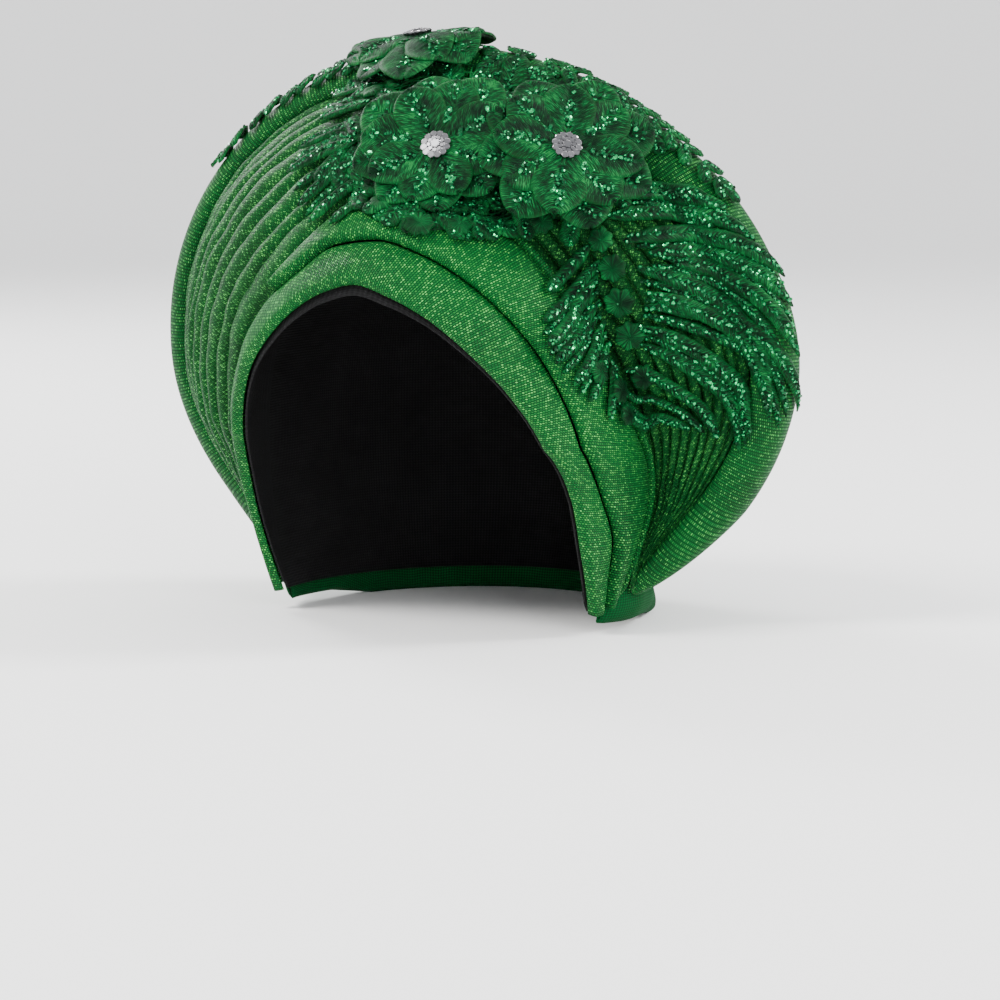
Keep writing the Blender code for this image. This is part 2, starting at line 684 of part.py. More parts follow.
def spray(name):
    """Frond of leaves on both sides of a spine, laid on the lace surface."""
    leaf_length, leaf_width, leaf_angle, pairs, rows = SPRAYS[name]
    lean = math.radians(leaf_angle)
    table = [(index / (len(rows) - 1), *row) for index, row in enumerate(rows)]
    frond = bmesh.new()

    def corner(stop, forward, aside):
        ring, share, lift, _, heading = stop
        along_way = forward * math.cos(heading) - aside * math.sin(heading)
        rim_way = forward * math.sin(heading) + aside * math.cos(heading)
        return frond.verts.new(laid_point(ring, share, along_way, rim_way, lift + LACE_WALL))

    stops = [spine_place(table, part) for part in spread(0.0, 1.0, pairs + 1)]
    edges = [(corner(stop, 0, SPINE_WIDTH / 2), corner(stop, 0, -SPINE_WIDTH / 2)) for stop in stops]
    for start, end in zip(edges, edges[1:]):
        frond.faces.new((start[0], start[1], end[1], end[0]))
    for index in range(pairs):
        middle = spine_place(table, (index + 0.5) / pairs)
        reach = leaf_length * middle[3]
        for side in (1, -1):
            near, far = edges[index][side < 0], edges[index + 1][side < 0]
            pair_rows = []
            for part, width in LEAF_FORM:
                half = leaf_width * width / 2
                forward = reach * part * math.cos(lean)
                aside = side * (SPINE_WIDTH / 2 + reach * part * math.sin(lean))
                shift_forward, shift_aside = half * math.sin(lean), side * half * math.cos(lean)
                pair_rows.append((corner(middle, forward - shift_forward, aside + shift_aside),
                                  corner(middle, forward + shift_forward, aside - shift_aside)))
            tip = corner(middle, reach * math.cos(lean), side * (SPINE_WIDTH / 2 + reach * math.sin(lean)))
            frond.faces.new((near, far, pair_rows[0][1], pair_rows[0][0]))
            for start, end in zip(pair_rows, pair_rows[1:]):
                frond.faces.new((start[0], start[1], end[1], end[0]))
            frond.faces.new((pair_rows[-1][0], pair_rows[-1][1], tip))
    return walled(name, frond, LACE_WALL)


def petal_outline(petals):
    """Directions round a flower and its reach in each, as a share of FLOWER_REACH."""
    outline = []
    for index, (heading, length) in enumerate(petals):
        before = heading - (heading - petals[index - 1][0]) % 360 / 2
        after = heading + (petals[(index + 1) % len(petals)][0] - heading) % 360 / 2
        for part in PETAL_STOPS:
            rise = math.sin(math.pi * part) ** PETAL_ROUNDNESS
            reach = length * (PETAL_NOTCH + (1 - PETAL_NOTCH) * rise)
            outline.append((before + (after - before) * part, reach))
    return outline


def flower(name):
    """Flower of oval petals round a flat middle, in one piece."""
    ring, share, lift, drape, petals = FLOWERS[name]
    centre, along, across, out = dress_frame(ring, share)
    outline = petal_outline(petals)

    def point(direction, reach, part, height):
        distance = FLOWER_REACH * reach * part
        angle = math.radians(direction)
        flat = centre + along * (distance * math.cos(angle)) + across * (distance * math.sin(angle))
        on_surface = laid_point(ring, share, distance * math.cos(angle), distance * math.sin(angle), 0.0)
        curl = PETAL_CURL * part ** 3
        return flat.lerp(on_surface, drape * part) + out * (LACE_LIFT + lift + height + curl)

    count = len(outline)
    verts = []
    for height in (FLOWER_WALL, 0.0):
        verts.append(centre + out * (LACE_LIFT + lift + height))
        for part in PETAL_PARTS:
            verts += [point(direction, reach, part, height) for direction, reach in outline]
    shell = 1 + count * len(PETAL_PARTS)
    faces = []
    for index in range(count):
        onward = (index + 1) % count
        faces.append((0, 1 + index, 1 + onward))
        faces.append((shell, shell + 1 + onward, shell + 1 + index))
        for band in range(len(PETAL_PARTS) - 1):
            start, after = 1 + band * count, 1 + (band + 1) * count
            quad = (start + index, after + index, after + onward, start + onward)
            faces.append(quad)
            faces.append(tuple(shell + corner for corner in reversed(quad)))
        edge = 1 + (len(PETAL_PARTS) - 1) * count
        faces.append((edge + index, shell + edge + index, shell + edge + onward, edge + onward))
    piece = new_piece(name, verts, faces, LACE_GREEN)
    face_outwards(piece)
    return piece


def rhinestone_button(name, flower_name):
    """Round button of cut stones in a cupped metal setting."""
    ring, share, lift, _, _ = FLOWERS[flower_name]
    centre, along, across, out = dress_frame(ring, share)
    seat = centre + out * (LACE_LIFT + lift + FLOWER_WALL + BUTTON_LIFT)
    turn = Matrix((along, across, out)).transposed().to_4x4()
    place = Matrix.Translation(seat) @ turn
    stone_ring = (BUTTON_WIDTH - RING_STONE_WIDTH) / 2
    base = bmesh.new()
    bmesh.ops.create_cone(base, cap_ends=True, segments=RING_STONE_COUNT, radius1=stone_ring,
                          radius2=stone_ring + RING_STONE_WIDTH * SETTING_FLARE, depth=BUTTON_HEIGHT,
                          matrix=Matrix.Translation((0, 0, BUTTON_HEIGHT / 2)))
    setting = new_mesh_piece(name, base, SILVER)
    gems = bmesh.new()
    for index in range(RING_STONE_COUNT):
        angle = 2 * math.pi * (index + 0.5) / RING_STONE_COUNT
        add_stone(gems, RING_STONE_WIDTH * RING_STONE_SHARE, stone_ring * math.cos(angle),
                  stone_ring * math.sin(angle))
    add_stone(gems, CENTRE_STONE_WIDTH, 0, 0)
    gem_piece = new_mesh_piece(name + " stones", gems, SILVER)
    gem_piece.hide_render = True
    gem_piece.display_type = "WIRE"
    joint = setting.modifiers.new("Stones", "BOOLEAN")
    joint.operation = "UNION"
    joint.object = gem_piece
    for piece in (setting, gem_piece):
        piece.data.transform(place)
    HEAD_TIE.objects.unlink(gem_piece)
    CUTTERS.objects.link(gem_piece)
    return setting


def add_stone(form, width, across, along):
    """Add one cut stone with a flat table, sunk a little in the setting."""
    height = width * STONE_HEIGHT_SHARE + STONE_SINK
    middle = BUTTON_HEIGHT - STONE_SINK + height / 2
    bmesh.ops.create_cone(form, cap_ends=True, segments=STONE_SIDES, radius1=width / 2,
                          radius2=width / 2 * STONE_TABLE_SHARE, depth=height,
                          matrix=Matrix.Translation((across, along, middle)))


def new_mesh_piece(name, form, material):
    """An object in the head tie's collection from a finished form."""
    mesh = bpy.data.meshes.new(name)
    form.to_mesh(mesh)
    form.free()
    mesh.materials.append(material)
    piece = bpy.data.objects.new(name, mesh)
    HEAD_TIE.objects.link(piece)
    return piece


def clear_scene():
    """Remove what the new file holds."""
    for thing in list(bpy.data.objects):
        bpy.data.objects.remove(thing, do_unlink=True)


clear_scene()
HEAD_TIE = bpy.data.collections.new("Tied gele head tie")
CUTTERS = bpy.data.collections.new("Joined helpers")
for group in (HEAD_TIE, CUTTERS):
    bpy.context.scene.collection.children.link(group)
GREEN_CLOTH = material("green ribbed cloth", (0.012, 0.22, 0.035), 0.45, 0.1, 0.3)
GREEN_KNIT = material("green knit", (0.008, 0.13, 0.022), 0.8)
BLACK_KNIT = material("black lining knit", (0.01, 0.01, 0.01), 0.9)
LACE_GREEN = material("green lace", (0.006, 0.14, 0.025), 0.55)
SILVER = material("silver and crystal", (0.85, 0.86, 0.88), 0.12, 1.0)

inner_cap()
nape_cap()
brow_band()
cross_band()
tuck_fold()
pleated_fan()
rim_wrap()
lace_ground()
for spray_name in SPRAYS:
    spray(spray_name)
for flower_name in FLOWERS:
    flower(flower_name)
    rhinestone_button(flower_name.replace("flower", "rhinestone_button"), flower_name)
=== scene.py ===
"""Tied gele head tie: crossed brow bands, a pleated fan with a rolled rim, and applied lace flowers.

Metres, +Z up. The wearer faces -Y and the wearer's left is +X. A place on the head is a turn in degrees
from the middle of the brow and a rise towards the crown. A place on the fan is a ring angle, 0 at the
wearer's left, 90 at the top and 180 at the wearer's right, and a share across it: 0 at the bands, 1 at
the rim. The sizes and tables of the wrapping are the same as the solids'.
"""
import bisect
import json
import math
import random

import bmesh
import bpy
from mathutils import Matrix, Vector, noise

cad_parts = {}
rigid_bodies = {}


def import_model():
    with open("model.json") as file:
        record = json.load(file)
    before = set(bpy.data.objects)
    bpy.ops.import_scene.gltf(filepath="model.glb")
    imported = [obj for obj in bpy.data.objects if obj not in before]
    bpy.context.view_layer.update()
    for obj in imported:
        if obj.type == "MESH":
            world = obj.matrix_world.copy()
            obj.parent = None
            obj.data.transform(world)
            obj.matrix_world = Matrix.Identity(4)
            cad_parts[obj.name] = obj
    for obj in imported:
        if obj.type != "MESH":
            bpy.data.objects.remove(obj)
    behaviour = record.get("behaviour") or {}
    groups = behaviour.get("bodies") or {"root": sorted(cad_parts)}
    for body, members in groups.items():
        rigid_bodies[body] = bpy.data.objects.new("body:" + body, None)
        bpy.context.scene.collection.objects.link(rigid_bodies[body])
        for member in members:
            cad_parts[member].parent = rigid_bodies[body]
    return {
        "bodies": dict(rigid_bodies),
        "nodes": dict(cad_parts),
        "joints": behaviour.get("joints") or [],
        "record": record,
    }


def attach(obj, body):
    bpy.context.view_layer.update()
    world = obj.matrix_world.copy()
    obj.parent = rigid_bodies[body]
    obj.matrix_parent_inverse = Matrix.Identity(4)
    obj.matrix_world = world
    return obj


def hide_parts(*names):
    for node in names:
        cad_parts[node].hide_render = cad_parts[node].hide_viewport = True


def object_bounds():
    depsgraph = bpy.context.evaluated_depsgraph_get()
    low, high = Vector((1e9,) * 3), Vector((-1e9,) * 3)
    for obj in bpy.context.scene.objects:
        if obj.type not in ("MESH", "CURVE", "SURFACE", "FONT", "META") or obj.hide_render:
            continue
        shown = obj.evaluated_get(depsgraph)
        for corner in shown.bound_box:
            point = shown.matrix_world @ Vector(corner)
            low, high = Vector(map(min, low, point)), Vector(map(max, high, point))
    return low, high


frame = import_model()
SOLID_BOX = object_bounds()

# Head that the tie fits
HEAD_HALF_WIDTH = 0.0755
HEAD_HALF_DEPTH = 0.0955
HEAD_CROWN = 0.104
HEAD_DROP = 0.074
NAPE_TAPER = 0.13

# Clearance between pieces, and the cloth's walls
FIT_GAP = 0.0003
LAYER_GAP = 0.0008
LINING_WALL = 0.0012
BAND_TAIL_WALL = 0.0016

# Bands, narrow fold, nape roll and lining
BROW_BAND_FULLNESS = 0.0050
CROSS_BAND_FULLNESS = 0.0052
BAND_START = -55.0
BAND_END = 235.0
CROSS_BAND_END = 140.0
TUCK_FOLD_WIDTH = 0.0030
TUCK_FOLD_FULLNESS = 0.0044
TUCK_FOLD_END = 62.0
TUCK_FADE = 13.0
NAPE_CAP_FULLNESS = 0.0075
# Width of black lining shown below the face edge at the brow peak: partly the cap, partly painted shade under
# the peak
LINING_AND_SHADE_STRIP = 0.0022
LOWEST_HEM_RISE = -0.97

# Fan and rim
FAN_HALF_WIDTH = 0.139
FAN_HALF_HEIGHT = 0.118
FAN_CENTRE_HEIGHT = 0.035
FAN_START = -50.0
FAN_END = 230.0
RIM_SET_BACK = 0.025
RIM_ROLL = 0.0125
RIM_BACK_ANGLE = -35.0
RIM_WALL = 0.0024
FAN_TUCK_REACH = 0.0040
FAN_ROOT_LEAD = 9.0
LEAD_END = -10.0
PLEAT_HEIGHT = 0.0030
PLEAT_WALL = 0.0018
FULL_PLEAT_WIDTH = 0.046
FAN_BULGE = 0.0090
BULGE_SIDE_SHARE = 0.6
BACK_FULLNESS = 0.0140
GATHER_COUNT = 8
HEM_SWEEP = 75.0
HEM_RISE = -0.78
BACK_CREST_RISE = 0.10
GATHER_DEPTH = 0.0016

# Lace
LACE_LIFT = 0.0007
LEAF_WALL = 0.0005
PETAL_WALL = 0.0006
FLOWER_WALL = 0.0013

BAND_FLOOR = FIT_GAP + LINING_WALL + LAYER_GAP
CROSS_FLOOR = BAND_FLOOR + BAND_TAIL_WALL + LAYER_GAP
FAN_ROOT_LIFT = CROSS_FLOOR + PLEAT_WALL

# Lines of the wrapping on the head, a row for each ring angle:
# ring angle, face edge turn and rise, seam turn and rise, crown edge turn and rise
WRAP_LINES = (
    (-55, 79, -0.90, 83, -0.88, 84, -0.86),
    (-40, 72, -0.56, 83, -0.56, 92, -0.56),
    (-25, 67, -0.26, 76.5, -0.28, 97, -0.30),
    (-10, 60, -0.03, 70, -0.04, 93, -0.07),
    (8, 50, 0.115, 62, 0.14, 82, 0.12),
    (28, 38, 0.23, 52, 0.28, 70, 0.30),
    (50, 25, 0.32, 38, 0.40, 57, 0.49),
    (70, 13, 0.37, 22, 0.48, 36, 0.635),
    (90, 0, 0.40, 4, 0.52, 8, 0.677),
    (108, -12, 0.375, -14, 0.50, -15, 0.63),
    (125, -23, 0.325, -26, 0.42, -27, 0.52),
    (142, -34, 0.25, -38, 0.355, -38.5, 0.37),
    (160, -45, 0.165, -50, 0.27, -50, 0.27),
    (180, -56, 0.03, -61, 0.13, -61, 0.13),
    (200, -65, -0.19, -70, -0.09, -70, -0.09),
    (218, -71, -0.48, -79, -0.42, -79, -0.42),
    (235, -79, -0.90, -84, -0.86, -84, -0.86),
)

# Rim by ring angle: set-back and roll radius as shares, the fan's bulge, its reach, and the angle round
# the roll at which its front edge lies
RIM_FORM = (
    (-50, 0.75, 0.62, 0.10, 1.010, 93),
    (-36, 0.95, 0.92, 0.40, 1.000, 96),
    (-8, 1.00, 0.95, 0.70, 1.000, 95),
    (22, 0.75, 1.05, 1.00, 0.972, 88),
    (50, 0.55, 1.20, 1.00, 0.955, 82),
    (90, 0.45, 1.10, 1.00, 0.995, 76),
    (130, 0.52, 0.72, 1.00, 1.008, 74),
    (185, 0.52, 0.80, 0.70, 1.000, 76),
    (215, 0.75, 0.90, 0.40, 1.000, 82),
    (230, 0.80, 0.62, 0.10, 1.010, 90),
)

# Flowers: ring angle and share of the middle, lift, how far the petals drape on to the surface, and
# for each petal its direction in degrees and its length as a share of FLOWER_REACH
FLOWER_REACH = 0.034
FLOWERS = {
    "flower_left": (81.0, 0.24, 0.0037, 0.35, (
        (0, 0.98), (45, 0.90), (88, 0.98), (132, 0.90), (180, 0.80), (228, 0.80), (272, 0.84), (316, 0.90))),
    "flower_right": (56.4, 0.55, 0.0072, 0.35, (
        (5, 0.92), (52, 0.95), (98, 0.98), (145, 0.95), (192, 0.95), (238, 0.98), (285, 0.92), (325, 0.90))),
    "flower_top": (98.0, 1.44, 0.0034, 0.92, (
        (0, 0.95), (48, 0.80), (95, 0.75), (140, 0.85), (185, 0.95), (230, 0.95), (275, 0.85), (320, 0.85))),
}


def read_table(table, place):
    """Values of a table at a place, on a smooth curve through its rows that never overshoots."""
    places = [row[0] for row in table]
    last = min(max(bisect.bisect_right(places, place), 1), len(table) - 1)
    first = last - 1
    span = places[last] - places[first]
    part = (place - places[first]) / span

    def slope(index, column):
        if index in (0, len(table) - 1):
            return 0.0 if index else (table[1][column] - table[0][column]) / (places[1] - places[0])
        before = (table[index][column] - table[index - 1][column]) / (places[index] - places[index - 1])
        after = (table[index + 1][column] - table[index][column]) / (places[index + 1] - places[index])
        return 0.0 if before * after <= 0 else 2 * before * after / (before + after)

    values = []
    for column in range(1, len(table[0])):
        start, end = table[first][column], table[last][column]
        lean_in, lean_out = slope(first, column) * span, slope(last, column) * span
        cube, square = part ** 3, part ** 2
        values.append(start * (2 * cube - 3 * square + 1) + end * (3 * square - 2 * cube)
                      + lean_in * (cube - 2 * square + part) + lean_out * (cube - square))
    return values


def head_point(turn, rise, lift):
    """Point at a lift over the head form."""
    around = math.radians(turn)
    if rise >= 0:
        tilt = math.radians(90 * rise)
        girth, height = math.cos(tilt), HEAD_CROWN * math.sin(tilt)
        slope = height / HEAD_CROWN ** 2
    else:
        girth, height = 1 - NAPE_TAPER * rise ** 2, HEAD_DROP * rise
        slope = 2 * NAPE_TAPER * rise * girth / HEAD_DROP
    surface = Vector((HEAD_HALF_WIDTH * girth * math.sin(around),
                      -HEAD_HALF_DEPTH * girth * math.cos(around), height))
    out = Vector((surface.x / HEAD_HALF_WIDTH ** 2, surface.y / HEAD_HALF_DEPTH ** 2, slope))
    return surface + out.normalized() * lift


def wrap_line(ring, line):
    """Turn and rise of the face edge (0), the seam (1) or the crown edge (2) at a ring angle."""
    values = read_table(WRAP_LINES, ring)
    return values[2 * line], values[2 * line + 1]


def outward(ring):
    """Direction from the fan's middle to its rim, seen from the front."""
    angle = math.radians(ring)
    return Vector((math.cos(angle), 0, math.sin(angle)))


def rim_roll(ring):
    """Centre and radius of the rolled rim at a ring angle."""
    set_back, roll_share, _, reach, _ = read_table(RIM_FORM, ring)
    radius = RIM_ROLL * roll_share
    angle = math.radians(ring)
    outer = Vector((FAN_HALF_WIDTH * reach * math.cos(angle), RIM_SET_BACK * set_back,
                    FAN_CENTRE_HEIGHT + FAN_HALF_HEIGHT * reach * math.sin(angle)))
    return outer - outward(ring) * radius, radius


def rim_point(ring, angle, inset=0.0):
    """Point round the rolled rim: angle 0 is outermost, 90 is the front and -90 the back."""
    centre, radius = rim_roll(ring)
    bend = math.radians(angle)
    return centre + (outward(ring) * math.cos(bend) + Vector((0, -math.sin(bend), 0))) * (radius - inset)


def rim_edge_angle(ring):
    """Angle round the rim's roll at which its front edge lies."""
    return read_table(RIM_FORM, ring)[4]


def crown_edge(ring):
    """Point of the bands' crown edge on the head, direction out of the head and direction to the back."""
    ground = head_point(*wrap_line(ring, 2), 0.0)
    out = (head_point(*wrap_line(ring, 2), 1.0) - ground).normalized()
    run = head_point(*wrap_line(ring + 1, 2), 0.0) - head_point(*wrap_line(ring - 1, 2), 0.0)
    aside = out.cross(run).normalized()
    return ground, out, aside if aside.y > 0 else -aside


FAN_CHORDS = {}


def fan_chord(ring):
    """Root of the fan at the bands and its straight way to the end tucked under the rim."""
    if ring in FAN_CHORDS:
        return FAN_CHORDS[ring]
    lead = FAN_ROOT_LEAD * min(max((LEAD_END - ring) / (LEAD_END - FAN_START), 0.0), 1.0)
    ground, out, aside = crown_edge(ring + lead)
    edge = ground + out * FAN_ROOT_LIFT
    tuck_inset = RIM_WALL + LAYER_GAP
    tuck_turn = math.degrees(FAN_TUCK_REACH / (rim_roll(ring)[1] - tuck_inset))
    end = rim_point(ring, rim_edge_angle(ring) + tuck_turn, tuck_inset)
    stand = max((end - edge).normalized().dot(out), 0.0)
    lean = 4 * fan_bulge(ring) / (end - edge).length
    fold = TUCK_FOLD_WIDTH + 2 * LAYER_GAP + lean * TUCK_FOLD_FULLNESS
    beside_fold = min(max((TUCK_FOLD_END + TUCK_FADE - ring) / TUCK_FADE, 0.0), 1.0)
    root = edge + aside * (LAYER_GAP + fold * beside_fold + PLEAT_HEIGHT * stand)
    FAN_CHORDS[ring] = root, end - root
    return FAN_CHORDS[ring]


def fan_bulge(ring):
    """How far the fan stands off its straight chord at its middle."""
    return read_table(RIM_FORM, ring)[2] * FAN_BULGE


def fan_base(ring, share):
    """Point on the smooth sheet that carries the pleats."""
    root, chord = fan_chord(ring)
    front = Vector((0, -1, 0)) - chord * (chord.dot(Vector((0, -1, 0))) / chord.length_squared)
    side = (outward(ring) - chord * (chord.dot(outward(ring)) / chord.length_squared)) * BULGE_SIDE_SHARE
    return root + chord * share + (front + side).normalized() * (fan_bulge(ring) * 4 * share * (1 - share))


def fan_point(ring, share, height):
    """Point at a height over the sheet that carries the pleats."""
    step_ring, step_share = 0.5, 0.02
    low, high = max(share - step_share, 0.0), min(share + step_share, 1.0)
    along = fan_base(ring + step_ring, share) - fan_base(ring - step_ring, share)
    across = fan_base(ring, high) - fan_base(ring, low)
    out = across.cross(along).normalized()
    return fan_base(ring, share) + out * height


def pleat_height(ring):
    """Height of the pleats, which flatten where the fan is narrow."""
    return PLEAT_HEIGHT * min(fan_chord(ring)[1].length / FULL_PLEAT_WIDTH, 1.0)


# Stops across the surface that the lace lies on: -1 is the seam, 0 the crown edge, 1 the rim's front
# edge, 1.5 the rim's outermost line
DRESS_STOPS = (-1.0, -0.5, 0.0, 0.15, 0.35, 0.55, 0.75, 0.93, 1.1, 1.3, 1.5, 1.75, 2.0)
DRESS_RING_STEP = 5.0
DRESS_NET = {}


def dress_stop(ring, stop):
    """Point at a stop on the surface that the lace lies on."""
    if stop <= 0:
        place = between(wrap_line(ring, 2), wrap_line(ring, 1), -stop)
        return head_point(*place, CROSS_FLOOR + CROSS_BAND_FULLNESS)
    if stop < 1:
        return fan_point(ring, stop, pleat_height(ring))
    edge = rim_edge_angle(ring)
    return rim_point(ring, edge - 2 * edge * (stop - 1))


def dress_net_point(row, column):
    """Point of the lace surface's net, worked out once."""
    if (row, column) not in DRESS_NET:
        ring = min(max(row * DRESS_RING_STEP, FAN_START), FAN_END)
        DRESS_NET[row, column] = dress_stop(ring, DRESS_STOPS[column])
    return DRESS_NET[row, column]


def glide(before, start, end, after, part):
    """Smooth curve between two of four points in a row."""
    square, cube = part * part, part ** 3
    return (before * (-cube + 2 * square - part) + start * (3 * cube - 5 * square + 2)
            + end * (-3 * cube + 4 * square + part) + after * (cube - square)) * 0.5


def dress_surface(ring, share):
    """Point on the smooth surface over the bands, the pleats and the rim."""
    row = math.floor(ring / DRESS_RING_STEP)
    row_part = ring / DRESS_RING_STEP - row
    column = min(max(bisect.bisect_right(DRESS_STOPS, share) - 1, 0), len(DRESS_STOPS) - 2)
    span = DRESS_STOPS[column + 1] - DRESS_STOPS[column]
    column_part = (share - DRESS_STOPS[column]) / span
    lines = []
    for offset in (-1, 0, 1, 2):
        columns = [min(max(column + step, 0), len(DRESS_STOPS) - 1) for step in (-1, 0, 1, 2)]
        points = [dress_net_point(row + offset, place) for place in columns]
        lines.append(glide(*points, column_part))
    return glide(*lines, row_part)


def dress_frame(ring, share):
    """Point, direction along the ring, direction across it and direction out of the lace surface."""
    along = dress_surface(ring + 1, share) - dress_surface(ring - 1, share)
    across = dress_surface(ring, share + 0.03) - dress_surface(ring, share - 0.03)
    out = across.cross(along).normalized()
    along = along.normalized()
    return dress_surface(ring, share), along, along.cross(out), out


def walk(ring, share, along_way, rim_way):
    """Place reached by walking on the lace surface along the ring and towards the rim."""
    strides = max(1, math.ceil(math.hypot(along_way, rim_way) / 0.004))
    for _ in range(strides):
        ring_pace = (dress_surface(ring + 1, share) - dress_surface(ring - 1, share)) / 2
        share_pace = (dress_surface(ring, share + 0.03) - dress_surface(ring, share - 0.03)) / 0.06
        along = ring_pace.normalized()
        drift = share_pace.dot(along)
        rise = (share_pace - along * drift).length
        share_change = rim_way / strides / rise
        ring += (along_way / strides - share_change * drift) / ring_pace.length
        share = min(max(share + share_change, DRESS_STOPS[0]), DRESS_STOPS[-1])
    return ring, share


def between(first, last, part):
    """Turn and rise at a part of the way between two places on the head."""
    return (first[0] + (last[0] - first[0]) * part, first[1] + (last[1] - first[1]) * part)


def mix(low, high, part):
    """Value at a part of the way from a low one to a high one."""
    return low + (high - low) * part


def bell(value, middle, reach):
    """Smooth hump: 1 at its middle and 0 past its reach."""
    away = min(abs(value - middle) / reach, 1.0)
    return (1 - away * away) ** 2


def sheet_piece(name, node, size, place, finish, wall, closed=False):
    """Cloth sheet in place of a node, with its chart in metres and its thickness inwards.

    size is the grid's columns and rows, and place puts it from the shares along and across. A closed
    sheet is joined where its sides and its top meet.
    """
    columns, rows = size
    form = bmesh.new()
    bmesh.ops.create_grid(form, x_segments=columns, y_segments=rows, size=1)
    grid = {}
    for vert in form.verts:
        step = round((vert.co.x + 1) / 2 * columns), round((vert.co.y + 1) / 2 * rows)
        grid[step] = vert
        vert.co = place(step[0] / columns, step[1] / rows)
    middle = rows // 2
    run, climb = {0: 0.0}, {}
    for column in range(columns + 1):
        if column:
            run[column] = run[column - 1] + (grid[column, middle].co - grid[column - 1, middle].co).length
        climb[column, 0] = 0.0
        for row in range(1, rows + 1):
            rise = (grid[column, row].co - grid[column, row - 1].co).length
            climb[column, row] = climb[column, row - 1] + rise
    places = {vert: step for step, vert in grid.items()}
    chart = form.loops.layers.uv.new("Cloth")
    for face in form.faces:
        for loop in face.loops:
            column, row = places[loop.vert]
            loop[chart].uv = (run[column], climb[column, row])
    form.normal_update()
    facing = sum(face.normal.dot(face.calc_center_median()) * face.calc_area() for face in form.faces)
    if facing < 0:
        bmesh.ops.reverse_faces(form, faces=form.faces)
    if closed:
        bmesh.ops.remove_doubles(form, verts=form.verts, dist=0.00005)
    return thickened(finished(name, form, finish), wall, node)


def thickened(piece, wall, node):
    """The piece with its thickness inwards, in place of its node."""
    solid = piece.modifiers.new("Cloth wall", "SOLIDIFY")
    solid.thickness = wall
    solid.offset = -1
    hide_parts(node)
    return piece


def finished(name, form, finish, smooth=True):
    """Shown object from a form, with its finish."""
    mesh = bpy.data.meshes.new(name)
    form.to_mesh(mesh)
    form.free()
    mesh.materials.append(finish)
    if smooth:
        mesh.shade_smooth()
    piece = bpy.data.objects.new(name, mesh)
    bpy.context.scene.collection.objects.link(piece)
    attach(piece, "root")
    return piece


def add(tree, kind, settings=None, **inputs):
    """Node with its settings, and each input linked or set; a name such as in_1 is an input's number."""
    made = tree.nodes.new("ShaderNode" + kind)
    for name, value in (settings or {}).items():
        setattr(made, name, value)
    for name, value in inputs.items():
        socket = made.inputs[int(name[3:])] if name.startswith("in_") else made.inputs[name.replace("_", " ")]
        if isinstance(value, bpy.types.NodeSocket):
            tree.links.new(value, socket)
        else:
            socket.default_value = value
    return made.outputs


def calc(tree, operation, *values):
    """Sum of the named kind on one to three values."""
    inputs = {f"in_{index}": value for index, value in enumerate(values)}
    return add(tree, "Math", {"operation": operation}, **inputs)[0]


def blend_colour(tree, part, low, high):
    """Colour at a part of the way between two."""
    return add(tree, "Mix", {"data_type": "RGBA"}, in_0=part, in_6=low, in_7=high)[2]


def relief(tree, height, depth, strength):
    """Direction of a surface raised by a height pattern."""
    return add(tree, "Bump", Strength=strength, Distance=depth, Height=height)[0]


def plain(name, colour, roughness, metallic=0.0, gloss=0.5):
    """Principled finish to build patterns on."""
    finish = bpy.data.materials.new(name)
    finish.use_nodes = True
    shader = finish.node_tree.nodes["Principled BSDF"]
    shader.inputs["Base Color"].default_value = (*colour, 1.0)
    shader.inputs["Roughness"].default_value = roughness
    shader.inputs["Metallic"].default_value = metallic
    shader.inputs["Specular IOR Level"].default_value = gloss
    return finish


def patterned(finish, inputs):
    """The finish with patterns linked to its sockets."""
    tree = finish.node_tree
    for name, value in inputs.items():
        tree.links.new(value, tree.nodes["Principled BSDF"].inputs[name])
    return finish


def chart_place(tree):
    """Place along and across a piece's own chart, in metres, and the place on the object."""
    place = add(tree, "SeparateXYZ", Vector=add(tree, "UVMap", {"uv_map": "Cloth"})[0])
    return place[0], place[1], add(tree, "TexCoord")[3]


def cell_chance(tree, body, scale):
    """Random number from 0 to 1 for each small cell of the surface."""
    return add(tree, "SeparateColor", Color=add(tree, "TexVoronoi", Vector=body, Scale=scale)[1])[0]


DARK_GROUND = (0.0000, 0.012, 0.003, 1)
MID_GROUND = (0.0000, 0.040, 0.008, 1)
THREAD_GREEN = (0.0000, 0.082, 0.016, 1)
LUREX_GREEN = (0.007, 0.27, 0.028, 1)
# Near-white green of the painted glints on the lurex dashes
PAINTED_GLINT_WHITE = (0.16, 0.70, 0.15, 1)


